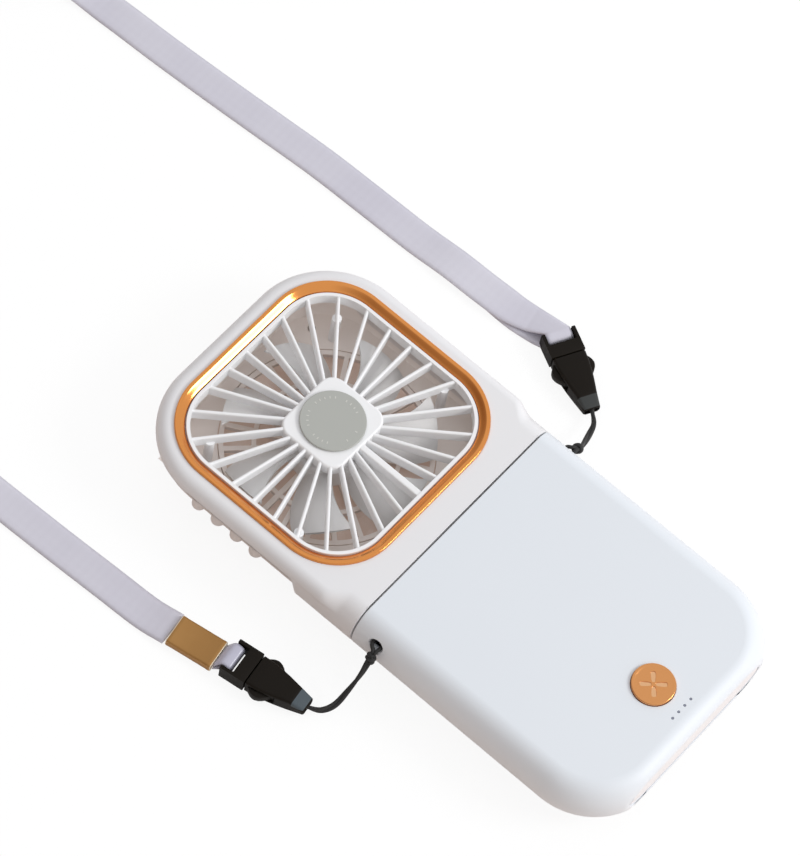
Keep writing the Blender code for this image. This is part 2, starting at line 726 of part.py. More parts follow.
rotor_roof = stator_top + CLEARANCE
rotor_top = rotor_roof + ROTOR_ROOF
rotor_low = motor_low + ROTOR_SKIRT_GAP
bore = SHAFT_RADIUS + CLEARANCE
rotor_in = ROTOR_RADIUS - ROTOR_WALL
rotor_profile = [(bore, rotor_top), (ROTOR_RADIUS, rotor_top), (ROTOR_RADIUS, rotor_low),
                 (rotor_in, rotor_low), (rotor_in, rotor_roof), (bore, rotor_roof)]
piece("motor_rotor", turned("motor_rotor", rotor_profile), STEEL, fan, FAN_PLACE)

hub_roof = rotor_top + CLEARANCE
hub_top = hub_roof + HUB_ROOF
hub_in = ROTOR_RADIUS + CLEARANCE
hub_profile = [(bore, hub_top), (IMPELLER_HUB_RADIUS - HUB_ROOF, hub_top),
               (IMPELLER_HUB_RADIUS, hub_top - HUB_ROOF), (IMPELLER_HUB_RADIUS, rotor_low),
               (hub_in, rotor_low), (hub_in, hub_roof), (bore, hub_roof)]
impeller = piece("impeller", turned("impeller", hub_profile, 35), FAN_WHITE, fan, FAN_PLACE)
piece("motor_shaft", rod("motor_shaft", SHAFT_RADIUS, motor_low, hub_top - CLEARANCE, 16),
      STEEL, fan, FAN_PLACE)

# Blades: twisted, swept and cambered, lofted from inside the hub to the tip
BLADE_MID_Z = 0.0106
BLADE_ROOT_CHORD = 0.0088
BLADE_TIP_CHORD = 0.0170
BLADE_ROOT_PITCH = math.radians(44)
BLADE_TIP_PITCH = math.radians(25)
BLADE_SWEEP = math.radians(12)
BLADE_CAMBER_SHARE = 0.07
CHORD_SHARES = (-0.5, -0.25, 0.0, 0.25, 0.5)
BLADE_ROOT_SINK = 0.0007


def blade_ring(share, start):
    radius = blend(IMPELLER_HUB_RADIUS - BLADE_ROOT_SINK, BLADE_TIP_RADIUS, share)
    chord = blend(BLADE_ROOT_CHORD, BLADE_TIP_CHORD, share)
    pitch = blend(BLADE_ROOT_PITCH, BLADE_TIP_PITCH, share)
    ring = []
    for face, shares in ((0.5, CHORD_SHARES), (-0.5, CHORD_SHARES[::-1])):
        for place in shares:
            camber = chord * BLADE_CAMBER_SHARE * (1 - 4 * place * place)
            thick = BLADE_THICKNESS * face * (1 - abs(place))
            along = chord * place * math.cos(pitch) - (camber + thick) * math.sin(pitch)
            z = BLADE_MID_Z + chord * place * math.sin(pitch) + (camber + thick) * math.cos(pitch)
            angle = start + BLADE_SWEEP * share * share + along / radius
            ring.append((radius * math.cos(angle), radius * math.sin(angle), z))
    return ring


for index in range(BLADE_COUNT):
    start = 2 * math.pi * index / BLADE_COUNT
    mesh = loft("blade", [blade_ring(share, start) for share in (0.0, 0.25, 0.5, 0.75, 1.0)])
    join(impeller, tool("blade", mesh, fan, FAN_PLACE))

# Hinge on the rear faces: two leaves with knuckles on one steel pin
KNUCKLE_RADIUS = AXIS_Z - CLEARANCE
LEAF_LOW_Z = AXIS_Z + CLEARANCE
LEAF_TOP_Z = REAR_Z - CLEARANCE
LEAF_EDGE = KNUCKLE_RADIUS + CLEARANCE
PIN_HEAD_LENGTH = 0.0008
PIN_HEAD_RADIUS = 0.0010
HINGE_SCREW_X = 0.0180
HINGE_SCREW_FROM_SEAM = 0.0055
HINGE_SCREW_LENGTH = 0.0030
knuckle_length = (HINGE_LENGTH - (KNUCKLE_COUNT - 1) * CLEARANCE) / KNUCKLE_COUNT
pin_bore = tool("pin_bore", rod("pin_bore", HINGE_PIN_RADIUS + CLEARANCE, -HINGE_LENGTH / 2 - OVERRUN,
                HINGE_LENGTH / 2 + OVERRUN, COARSE, along="X"), None, (0.0, 0.0, AXIS_Z))


def hinge_leaf(name, direction, first, shell, parent):
    """A leaf on the side of the seam that direction gives, with every second knuckle."""
    reach_y = sorted((direction * LEAF_EDGE, direction * HINGE_LEAF_REACH))
    leaf = piece(name, block(name, (-HINGE_LENGTH / 2, reach_y[0], LEAF_LOW_Z),
                 (HINGE_LENGTH / 2, reach_y[1], LEAF_TOP_Z)), STEEL, parent, flat=True)
    for index in range(first, KNUCKLE_COUNT, 2):
        low = -HINGE_LENGTH / 2 + index * (knuckle_length + CLEARANCE)
        high = low + knuckle_length
        web_y = sorted((0.0, direction * (LEAF_EDGE + CLEARANCE)))
        web_mesh = block("web", (low, web_y[0], LEAF_LOW_Z), (high, web_y[1], AXIS_Z + KNUCKLE_RADIUS))
        knuckle = rod("knuckle", KNUCKLE_RADIUS, low, high, 16, along="X")
        join(leaf, tool("web", web_mesh, parent))
        join(leaf, tool("knuckle", knuckle, parent, (0.0, 0.0, AXIS_Z)))
    cut(leaf, pin_bore)
    for side in (-1, 1):
        place = (side * HINGE_SCREW_X, direction * HINGE_SCREW_FROM_SEAM, 0.0)
        hole = SCREW_RADIUS + CLEARANCE
        sink = [(SCREW_HEAD_RADIUS + CLEARANCE * 2, LEAF_LOW_Z - CLEARANCE), (hole, LEAF_TOP_Z - CLEARANCE),
                (hole, FLOOR_INSIDE_Z + OVERRUN)]
        drill = tool("leaf_hole", capped_turning("leaf_hole", sink, COARSE), parent, place)
        cut(leaf, drill)
        cut(shell, drill)
        screw = [(SCREW_HEAD_RADIUS, LEAF_LOW_Z), (SCREW_RADIUS, LEAF_TOP_Z - CLEARANCE),
                 (SCREW_RADIUS, FLOOR_INSIDE_Z + HINGE_SCREW_LENGTH)]
        words = "left" if side < 0 else "right"
        screw_name = name + "_screw_" + words
        piece(screw_name, capped_turning(screw_name, screw, COARSE), STEEL, parent, place)
    return leaf


hinge_leaf("hinge_bracket_body", -1, 0, body_rear, None)
hinge_leaf("hinge_bracket_head", 1, 1, head_rear, head)
half_hinge = HINGE_LENGTH / 2 + CLEARANCE
pin_profile = [(PIN_HEAD_RADIUS, -half_hinge - PIN_HEAD_LENGTH), (PIN_HEAD_RADIUS, -half_hinge),
               (HINGE_PIN_RADIUS, -half_hinge), (HINGE_PIN_RADIUS, half_hinge),
               (PIN_HEAD_RADIUS, half_hinge), (PIN_HEAD_RADIUS, half_hinge + PIN_HEAD_LENGTH)]
pin_mesh = capped_turning("hinge_pin", pin_profile, COARSE)
pin_mesh.transform(Matrix.Rotation(math.pi / 2, 4, "Y"))
piece("hinge_pin", pin_mesh, STEEL, None, (0.0, 0.0, AXIS_Z))

# Rubber feet, pressed into the rear faces
FOOT_RADIUS = 0.0025
FOOT_STEM_RADIUS = 0.0011
FOOT_EDGE = 0.0005
BODY_FOOT_FROM_SIDE = 0.0145
BODY_FOOT_FROM_END = 0.0251
HEAD_FOOT_FROM_SIDE = 0.0165
HEAD_FOOT_FROM_END = 0.0125
body_foot = (BODY_HALF - BODY_FOOT_FROM_SIDE, BODY_FOOT_FROM_END - BODY_LENGTH)
head_foot = (HEAD_HALF - HEAD_FOOT_FROM_SIDE, HEAD_LENGTH - HEAD_FOOT_FROM_END)
for owner, shell, parent, (x, y) in (("body", body_rear, None, body_foot),
                                     ("head", head_rear, head, head_foot)):
    for side, words in ((-1, "left"), (1, "right")):
        place = (side * x, y, 0.0)
        name = owner + "_foot_" + words
        profile = [(FOOT_RADIUS - FOOT_EDGE, 0.0), (FOOT_RADIUS, FOOT_EDGE), (FOOT_RADIUS, FOOT_HEIGHT),
                   (FOOT_STEM_RADIUS, FOOT_HEIGHT), (FOOT_STEM_RADIUS, FLOOR_INSIDE_Z)]
        piece(name, capped_turning(name, profile, 16), RUBBER, parent, place)
        drill = rod("foot_hole", FOOT_STEM_RADIUS + CLEARANCE, REAR_Z - OVERRUN,
                    FLOOR_INSIDE_Z + OVERRUN, COARSE)
        cut(shell, tool("foot_hole", drill, parent, place))

# Port cover in the far end, a soft plate in a window through both shells
COVER_INSET = 0.0014
COVER_RECESS = 0.0002
END_CORNER_REACH = BODY_CORNER - BODY_END_RUN_ON


def end_outline(inset):
    """The flat end's outline in x and z, moved inwards."""
    top_angle = math.acos(1 - BODY_END_RUN_ON / SIDE_ROUND_ACROSS)
    top = HALF_THICKNESS * math.sin(top_angle)
    right = []
    for share in (-1.0, -0.8, -0.5, 0.0, 0.5, 0.8, 1.0):
        angle = top_angle * share
        side_inset, z = pill(angle)
        spread = math.sqrt(max(0.0, (BODY_CORNER - side_inset) ** 2 - END_CORNER_REACH ** 2))
        x = BODY_HALF - BODY_CORNER + spread - inset
        right.append((x, MID_Z + (z - MID_Z) * (top - inset) / top))
    return right + [(-x, z) for x, z in right[::-1]]


def end_plate(name, inset, near, far):
    rings = [[(x, y, z) for x, z in end_outline(inset)] for y in (near, far)]
    return loft(name, rings)


end_window = tool("end_window", end_plate(
    "end_window", COVER_INSET, -BODY_LENGTH - OVERRUN, -BODY_LENGTH + WALL + OVERRUN))
cut(body_front, end_window)
cut(body_rear, end_window)
piece("port_cover", end_plate("port_cover", COVER_INSET + CLEARANCE, -BODY_LENGTH + COVER_RECESS,
      -BODY_LENGTH + WALL - CLEARANCE), WARM_WHITE, flat=True)

# Battery cell on the floor of the body
CELL_HALF_WIDTH = 0.0240
CELL_NEAR = 0.0120
CELL_TO_BOARD = 0.0030
BOARD_LENGTH = 0.0252
board_far = BODY_LENGTH - WALL - CLEARANCE
board_near = board_far - BOARD_LENGTH
cell_far = board_near - CELL_TO_BOARD
CELL_HEIGHT = 0.0090
CELL_CORNER = 0.0020
cell_low = FLOOR_INSIDE_Z + CLEARANCE
cell_outline = rounded(CELL_HALF_WIDTH, (cell_far - CELL_NEAR) / 2, CELL_CORNER, 3,
                       (0.0, -(cell_far + CELL_NEAR) / 2))
piece("battery_cell", plate("battery_cell", cell_outline, [], cell_low, cell_low + CELL_HEIGHT),
      CELL_SILVER, flat=True)

# Circuit board on four pads, with the switch and the two sockets behind the port cover
BOARD_HALF_WIDTH = 0.0200
BOARD_THICKNESS = 0.0012
PAD_HEIGHT = 0.0011
PAD_RADIUS = 0.0015
PAD_INSET = 0.0030
board_low = FLOOR_INSIDE_Z + PAD_HEIGHT + CLEARANCE
board_top = board_low + BOARD_THICKNESS
on_board = board_top + CLEARANCE
piece("circuit_board", block("circuit_board", (-BOARD_HALF_WIDTH, -board_far, board_low),
      (BOARD_HALF_WIDTH, -board_near, board_top)), BOARD_GREEN, flat=True)
for x in (-BOARD_HALF_WIDTH + PAD_INSET, BOARD_HALF_WIDTH - PAD_INSET):
    for from_seam in (board_near + PAD_INSET, board_far - PAD_INSET):
        pad = rod("board_pad", PAD_RADIUS, FLOOR_INSIDE_Z - WALL / 2, FLOOR_INSIDE_Z + PAD_HEIGHT, COARSE)
        join(body_rear, tool("board_pad", pad, None, (x, -from_seam, 0.0)))


def socket(name, centre_x, width, height, depth, sheet):
    """A metal socket: a sleeve with a closed back, open at the port cover."""
    near = -board_far + depth
    made = piece(name, block(name, (centre_x - width / 2, -board_far, on_board),
                 (centre_x + width / 2, near, on_board + height)), STEEL, flat=True)
    mouth = block(name + "_mouth", (centre_x - width / 2 + sheet, -board_far - OVERRUN, on_board + sheet),
                  (centre_x + width / 2 - sheet, near - sheet * 2, on_board + height - sheet))
    cut(made, tool(name + "_mouth", mouth))


WIDE_SOCKET_X = -0.0110
WIDE_SOCKET_SIZE = (0.0132, 0.0058, 0.0135)
SMALL_SOCKET_X = 0.0100
SMALL_SOCKET_SIZE = (0.0090, 0.0033, 0.0073)
SOCKET_SHEET = 0.0004
socket("usb_a_socket", WIDE_SOCKET_X, *WIDE_SOCKET_SIZE, SOCKET_SHEET)
socket("usb_c_socket", SMALL_SOCKET_X, *SMALL_SOCKET_SIZE, SOCKET_SHEET)

SWITCH_HALF = 0.0030
SWITCH_HEIGHT = 0.0035
PLUNGER_RADIUS = 0.0016
PLUNGER_PROUD = 0.0007
PLUNGER_LENGTH = 0.0018
switch_top = on_board + SWITCH_HEIGHT
plunger_top = switch_top + PLUNGER_PROUD
plunger_low = plunger_top - PLUNGER_LENGTH
tact_switch = piece("tact_switch", block(
    "tact_switch", (-SWITCH_HALF, -BUTTON_FROM_SEAM - SWITCH_HALF, on_board),
    (SWITCH_HALF, -BUTTON_FROM_SEAM + SWITCH_HALF, switch_top)), STEEL, flat=True)
well = rod("switch_well", PLUNGER_RADIUS + CLEARANCE, plunger_low - BUTTON_TRAVEL - CLEARANCE,
           switch_top + OVERRUN, 16)
cut(tact_switch, tool("switch_well", well, None, BUTTON_PLACE))
piece("switch_plunger", rod("switch_plunger", PLUNGER_RADIUS, plunger_low, plunger_top, 16),
      BLACK_PLASTIC, button, BUTTON_PLACE)

# Power button: a copper cap with a flange under the face and a stem down to the plunger
BUTTON_FLANGE = 0.0010
BUTTON_FLANGE_HEIGHT = 0.0008
BUTTON_EDGE = 0.0006
BUTTON_DISH = 0.0002
STEM_RADIUS = 0.0014
button_top = FRONT_Z + BUTTON_PROUD
flange_top = ROOF_INSIDE_Z - CLEARANCE
stem_low = plunger_top + CLEARANCE
cap_radius = BUTTON_RADIUS - CLEARANCE / 2
button_profile = [
    (STEM_RADIUS, stem_low), (STEM_RADIUS, flange_top - BUTTON_FLANGE_HEIGHT),
    (BUTTON_RADIUS + BUTTON_FLANGE, flange_top - BUTTON_FLANGE_HEIGHT),
    (BUTTON_RADIUS + BUTTON_FLANGE, flange_top), (cap_radius, flange_top),
    (cap_radius, button_top - BUTTON_EDGE), (cap_radius - BUTTON_EDGE / 3, button_top - BUTTON_EDGE / 4),
    (cap_radius - BUTTON_EDGE, button_top), (cap_radius - BUTTON_EDGE * 2, button_top - BUTTON_DISH)]
power_button = piece("power_button", capped_turning("power_button", button_profile, 36),
                     COPPER, button, BUTTON_PLACE)
button_hole = rod("button_hole", BUTTON_RADIUS + CLEARANCE / 2, ROOF_INSIDE_Z - OVERRUN,
                  FRONT_Z + OVERRUN, 36)
cut(body_front, tool("button_hole", button_hole, None, BUTTON_PLACE))

# Four petals pressed into the cap, a plain mark for air
PETAL_DEPTH = 0.0003
PETAL_LENGTH = 0.0030
PETAL_WIDTH = 0.0014
PETAL_START = 0.0006
PETAL_SHARES = ((0.0, 0.35), (0.35, 0.95), (0.8, 1.0), (1.0, 0.55), (0.85, 0.0), (0.4, -0.1))
for index in range(4):
    turn = math.pi / 2 * index
    outline = []
    for along_share, across_share in PETAL_SHARES:
        x, y = PETAL_START + PETAL_LENGTH * along_share, PETAL_WIDTH * across_share
        outline.append((x * math.cos(turn) - y * math.sin(turn), x * math.sin(turn) + y * math.cos(turn)))
    petal_low = button_top - BUTTON_DISH - PETAL_DEPTH
    petal = plate("petal", outline, [], petal_low, button_top + OVERRUN)
    cut(power_button, tool("petal", petal, button, BUTTON_PLACE))

# Light pipe: a bar under the face with one pin for each lamp
PIPE_HEIGHT = 0.0012
PIPE_HALF_DEPTH = 0.0010
PIPE_END = 0.0010
lamp_span = (LAMP_COUNT - 1) * LAMP_SPACING
pipe_half = lamp_span / 2 + PIPE_END
pipe_mesh = block("led_light_pipe", (-pipe_half, -LAMP_FROM_SEAM - PIPE_HALF_DEPTH, flange_top - PIPE_HEIGHT),
                  (pipe_half, -LAMP_FROM_SEAM + PIPE_HALF_DEPTH, flange_top))
pipe = piece("led_light_pipe", pipe_mesh, LAMP_CLEAR, flat=True)
for index in range(LAMP_COUNT):
    place = (index * LAMP_SPACING - lamp_span / 2, -LAMP_FROM_SEAM, 0.0)
    lamp_hole = rod("lamp_hole", LAMP_RADIUS + CLEARANCE, ROOF_INSIDE_Z - OVERRUN, FRONT_Z + OVERRUN, 10)
    lamp_pin = rod("lamp_pin", LAMP_RADIUS, flange_top - PIPE_HEIGHT / 2, FRONT_Z, 10)
    cut(body_front, tool("lamp_hole", lamp_hole, None, place))
    join(pipe, tool("lamp_pin", lamp_pin, None, place))

# Cord eyes: a slot in each side of the body with a steel pin across it
EYE_PIN_RADIUS = 0.0005
EYE_PIN_DEPTH = 0.0031
EYE_Z = 0.0151
EYE_HALF_HEIGHT = 0.0015
EYE_BACK = 0.0022
EYE_BLOCK_MARGIN = 0.0014
EYE_PIN_SINK = 0.0009
EYE_BLOCK_DEPTH = 0.0020
eye_pin_x = BODY_HALF - EYE_PIN_DEPTH
cord_turn = EYE_PIN_RADIUS + CLEARANCE + CORD_DIAMETER / 2
eye_half = cord_turn + CORD_DIAMETER / 2 + CLEARANCE
for side, words in ((-1, "left"), (1, "right")):
    inner = eye_pin_x - EYE_PIN_RADIUS - EYE_BACK
    block_x = sorted((side * (inner - EYE_BLOCK_MARGIN), side * (BODY_HALF - EYE_BLOCK_DEPTH)))
    slot_x = sorted((side * inner, side * (BODY_HALF + OVERRUN)))
    eye_low, eye_high = EYE_Z - EYE_HALF_HEIGHT, EYE_Z + EYE_HALF_HEIGHT
    block_reach = eye_half + EYE_BLOCK_MARGIN
    solid = block("eye_block", (block_x[0], -EYE_FROM_SEAM - block_reach, eye_low - EYE_BLOCK_MARGIN),
                  (block_x[1], -EYE_FROM_SEAM + block_reach, eye_high + EYE_PIN_SINK))
    slot = block("eye_slot", (slot_x[0], -EYE_FROM_SEAM - eye_half, eye_low),
                 (slot_x[1], -EYE_FROM_SEAM + eye_half, eye_high))
    place = (side * eye_pin_x, -EYE_FROM_SEAM, 0.0)
    pin_low, pin_high = eye_low - EYE_PIN_SINK, eye_high + EYE_PIN_SINK
    pin_hole = rod("eye_pin_hole", EYE_PIN_RADIUS + CLEARANCE, pin_low, pin_high, COARSE)
    join(body_front, tool("eye_block", solid))
    cut(body_front, tool("eye_slot", slot))
    cut(body_front, tool("eye_pin_hole", pin_hole, None, place))
    piece("lanyard_pin_" + words, rod("lanyard_pin", EYE_PIN_RADIUS, pin_low + CLEARANCE,
          pin_high - CLEARANCE, COARSE), STEEL, None, place)

# Side-release buckles: sizes along the buckle start at the cord's end
BUCKLE_TIPS = {"left": (-0.0584, -0.0031), "right": (0.0579, -0.0014)}
BUCKLE_ENDS = {"left": (-0.0618, 0.0208), "right": (0.0692, 0.0205)}
SOCKET_SHARE = 0.68
SOCKET_WIDTH_SHARES = ((0.0, 0.48, 0.62), (0.24, 0.58, 0.82), (0.50, 0.78, 1.0), (0.80, 0.94, 1.0),
                       (1.0, 0.97, 1.0))
SOCKET_EDGE = 0.0010
CAVITY_HALF = 0.0038
CAVITY_HALF_HEIGHT = 0.0015
RELEASE_START_SHARE = 0.48
RELEASE_END_SHARE = 0.92
CORD_MOUTH_DEPTH = 0.0030
CORD_MOUTH_HALF = 0.0017
CORD_MOUTH_HALF_HEIGHT = 0.0009
COLLAR_SHARE = 0.16
BAR_SHARE = 0.075
EAR_WIDTH = 0.0010
BAR_HALF_HEIGHT = 0.0010
PRONG_THICKNESS = 0.0014
PRONG_OUT = 0.0033
PRONG_BULGE = 0.0056
TONGUE_HALF = 0.0011
buckle_mid = BUCKLE_THICKNESS / 2
socket_length = BUCKLE_LENGTH * SOCKET_SHARE
plug_start = socket_length + CLEARANCE
collar_end = plug_start + BUCKLE_LENGTH * COLLAR_SHARE
bar_start = BUCKLE_LENGTH * (1 - BAR_SHARE)
release_start = socket_length * RELEASE_START_SHARE
release_end = socket_length * RELEASE_END_SHARE


def buckle(words):
    """The cord's socket and the strap's plug, laid along the line from tip to end."""
    tip, end = BUCKLE_TIPS[words], BUCKLE_ENDS[words]
    heading = math.atan2(end[1] - tip[1], end[0] - tip[0])
    carrier = pivot(words + "_buckle", (*tip, 0.0), heading)
    rings = []
    for along_share, width_share, height_share in SOCKET_WIDTH_SHARES:
        outline = rounded(BUCKLE_WIDTH / 2 * width_share, BUCKLE_THICKNESS / 2 * height_share, SOCKET_EDGE, 2)
        rings.append([(socket_length * along_share, y, buckle_mid + z) for y, z in outline])
    name = words + "_buckle_socket"
    made = piece(name, loft(name, rings), BLACK_PLASTIC, carrier)
    low, high = buckle_mid - CAVITY_HALF_HEIGHT, buckle_mid + CAVITY_HALF_HEIGHT
    cavity = block("cavity", (release_start, -CAVITY_HALF, low), (socket_length + OVERRUN, CAVITY_HALF, high))
    release = block("release", (release_start, -BUCKLE_WIDTH, low), (release_end, BUCKLE_WIDTH, high))
    mouth = block("mouth", (-OVERRUN, -CORD_MOUTH_HALF, buckle_mid - CORD_MOUTH_HALF_HEIGHT),
                  (CORD_MOUTH_DEPTH, CORD_MOUTH_HALF, buckle_mid + CORD_MOUTH_HALF_HEIGHT))
    for opening_name, opening in (("cavity", cavity), ("release", release), ("mouth", mouth)):
        cut(made, tool(words + "_" + opening_name, opening, carrier))

    name = words + "_buckle_plug"
    half = BUCKLE_WIDTH / 2
    inner = half - EAR_WIDTH
    frame_outline = [(plug_start, -half), (BUCKLE_LENGTH, -half), (BUCKLE_LENGTH, -inner),
                     (collar_end, -inner), (collar_end, inner), (BUCKLE_LENGTH, inner),
                     (BUCKLE_LENGTH, half), (plug_start, half)]
    plug = piece(name, plate(name, frame_outline, [], 0.0, BUCKLE_THICKNESS), BLACK_PLASTIC, carrier, flat=True)
    bar = block("bar", (bar_start, -inner - EAR_WIDTH / 2, buckle_mid - BAR_HALF_HEIGHT),
                (BUCKLE_LENGTH - CLEARANCE, inner + EAR_WIDTH / 2, buckle_mid + BAR_HALF_HEIGHT))
    join(plug, tool(words + "_bar", bar, carrier))
    prong_low = low + CLEARANCE
    prong_high = high - CLEARANCE
    root = plug_start + EAR_WIDTH
    nose = release_start + CLEARANCE
    shoulder = release_end - CLEARANCE
    for side in (-1, 1):
        prong = [(root, PRONG_OUT), (shoulder, PRONG_OUT), (shoulder, PRONG_BULGE),
                 ((nose + shoulder) / 2, PRONG_BULGE), (nose, PRONG_OUT - PRONG_THICKNESS / 2),
                 (nose, PRONG_OUT - PRONG_THICKNESS), (root, PRONG_OUT - PRONG_THICKNESS)]
        outline = [(x, side * y) for x, y in prong]
        join(plug, tool(words + "_prong", plate("prong", outline, [], prong_low, prong_high), carrier))
    tongue = block("tongue", (nose, -TONGUE_HALF, prong_low), (root, TONGUE_HALF, prong_high))
    join(plug, tool(words + "_tongue", tongue, carrier))
    return carrier


left_buckle = buckle("left")
right_buckle = buckle("right")


# Cord loops: one cord from the buckle, round the eye's pin and back

CORD_END_IN_MOUTH = 0.0016
CORD_STRAND_HALF = 0.00075
CORD_ROUTES = {
    "left": [(-0.0384, -0.0073, 0.0151), (-0.0404, -0.0080, 0.0147), (-0.0426, -0.0082, 0.0120),
             (-0.0449, -0.0083, 0.0088), (-0.0490, -0.0081, 0.0053), (-0.0535, -0.0078, 0.0033),
             (-0.0568, -0.0061, 0.0027)],
    "right": [(0.0384, -0.0074, 0.0151), (0.0403, -0.0081, 0.0147), (0.0423, -0.0081, 0.0121),
              (0.0444, -0.0076, 0.0090), (0.0478, -0.0067, 0.0063), (0.0516, -0.0056, 0.0043),
              (0.0552, -0.0042, 0.0030)],
}


def smooth_route(points, per_span):
    """Points on a smooth curve through the route's own points."""
    padded = [points[0] * 2 - points[1]] + list(points) + [points[-1] * 2 - points[-2]]
    fine = []
    for i in range(1, len(padded) - 2):
        before, here, after, beyond = padded[i - 1:i + 3]
        for step in range(per_span):
            t = step / per_span
            fine.append(0.5 * ((2 * here) + (after - before) * t
                        + (2 * before - 5 * here + 4 * after - beyond) * t * t
                        + (3 * here - before - 3 * after + beyond) * t * t * t))
    fine.append(padded[-2])
    return fine


def cord_loop(words, carrier):
    side = -1 if words == "left" else 1
    axis = (carrier.matrix_world.to_3x3() @ Vector((1.0, 0.0, 0.0))).normalized()
    tip = carrier.matrix_world.translation + Vector((0.0, 0.0, buckle_mid))
    route = [Vector(point) for point in CORD_ROUTES[words]] + [tip, tip + axis * CORD_END_IN_MOUTH]
    fine = smooth_route(route, 2)
    out, back = [], []
    for i, point in enumerate(fine):
        ahead = fine[min(i + 1, len(fine) - 1)] - fine[max(i - 1, 0)]
        across = Vector((-ahead.y, ahead.x, 0.0)).normalized()
        spread = blend(cord_turn, CORD_STRAND_HALF, smooth(i, 0, 4))
        out.append(point + across * spread)
        back.append(point - across * spread)
    centre = Vector((side * eye_pin_x, -EYE_FROM_SEAM, EYE_Z))
    turn = []
    for step in range(7):
        angle = math.pi / 2 + math.pi * step / 6
        turn.append(centre + Vector((side * cord_turn * math.cos(angle), cord_turn * math.sin(angle), 0.0)))
    if (out[0] - turn[0]).length > (back[0] - turn[0]).length:
        out, back = back, out
    points = out[::-1] + turn + back
    name = words + "_cord_loop"
    piece(name, tube(name, points, CORD_DIAMETER), BLACK_CORD)


cord_loop("left", left_buckle)
cord_loop("right", right_buckle)


# Ribbon: a flat band swept along a route, which rolls from lying flat to standing on its edge

def band(name, sections, width, thickness, look):
    """Sweep a flat section. Each has its centre and the way of its width, shorter where it is gathered."""
    rings = []
    last = len(sections) - 1
    for i, (centre, across) in enumerate(sections):
        ahead = sections[min(i + 1, last)][0] - sections[max(i - 1, 0)][0]
        face = ahead.cross(across).normalized()
        half_width, half_thick = across * width / 2, face * thickness / 2
        rings.append([centre + half_width + half_thick, centre - half_width + half_thick,
                      centre - half_width - half_thick, centre + half_width - half_thick])
    return piece(name, loft(name, rings), look, flat=True)


def lying_sections(points, sign=1):
    sections = []
    last = len(points) - 1
    for i, point in enumerate(points):
        ahead = points[min(i + 1, last)] - points[max(i - 1, 0)]
        sections.append((point, Vector((-ahead.y, ahead.x, 0.0)).normalized() * sign))
    return sections


def rolled(points, start, end):
    """Sections that roll up on their edge between two shares of the points, and rise as they do."""
    sections = []
    last = len(points) - 1
    for i, (point, across) in enumerate(lying_sections(points)):
        roll = math.pi / 2 * smooth(i / last, start, end)
        width_way = across * math.cos(roll) + Vector((0.0, 0.0, math.sin(roll)))
        rise = (RIBBON_WIDTH - RIBBON_THICKNESS) / 2 * math.sin(roll)
        rise += TIE_THICKNESS * smooth(i / last, start, end)
        sections.append((point + Vector((0.0, 0.0, rise)), width_way))
    return sections


# Spare ribbon: rolled up on its edge from the middle, a bend of S form inside two part turns
COIL_CENTRE = Vector((-0.0190, 0.2570, 0.0))
COIL_BEND = 0.0230
COIL_PITCH = 0.0100
COIL_LEFT_TURN = math.pi
COIL_RIGHT_TURN = math.pi / 2
TIE_THICKNESS = 0.0006
COIL_POINTS_IN_TURN = 26
ribbon_rest = RIBBON_THICKNESS / 2 + TIE_THICKNESS / 6
coil_z = TIE_THICKNESS + ribbon_rest + (RIBBON_WIDTH - RIBBON_THICKNESS) / 2
coil_inner = 2 * COIL_BEND


def coil_arm(start_angle, turn):
    """Points of one arm, outwards from the S."""
    count = max(4, round(COIL_POINTS_IN_TURN * turn / (2 * math.pi)))
    points = []
    for step in range(count + 1):
        angle = start_angle + turn * step / count
        radius = coil_inner + COIL_PITCH * turn * step / count / (2 * math.pi)
        points.append(COIL_CENTRE + Vector((radius * math.cos(angle), radius * math.sin(angle), coil_z)))
    return points


def coil_path():
    """The S bend in the middle of the coil, with an arm outwards from each of its ends."""
    count = round(COIL_POINTS_IN_TURN / 3)
    first = []
    for step in range(1, count + 1):
        angle = -math.pi * step / count
        x = COIL_BEND * (1 + math.cos(angle))
        first.append(COIL_CENTRE + Vector((x, COIL_BEND * math.sin(angle), coil_z)))
    second = [COIL_CENTRE * 2 - point + Vector((0.0, 0.0, 2 * coil_z)) for point in first[:-1]]
    left = coil_arm(0.0, COIL_LEFT_TURN)
    right = coil_arm(math.pi, COIL_RIGHT_TURN)
    return left[::-1] + first + second[::-1] + right


def coil_gap(points):
    """The least gap between turns that aren't neighbours along the ribbon."""
    lengths = [0.0]
    for a, b in zip(points, points[1:]):
        lengths.append(lengths[-1] + (b - a).length)
    least = COIL_BEND
    for i, a in enumerate(points):
        for j in range(i + 1, len(points)):
            if lengths[j] - lengths[i] > COIL_BEND:
                least = min(least, (points[j] - a).length)
    return least - RIBBON_THICKNESS


coil_points = coil_path()
coil_sections = [(point, Vector((0.0, 0.0, 1.0))) for point in coil_points]
band("strap_coil", coil_sections, RIBBON_WIDTH, RIBBON_THICKNESS, RIBBON_LILAC)
print("least gap between the turns of the ribbon:", round(coil_gap(coil_points) * 1000, 2), "mm")

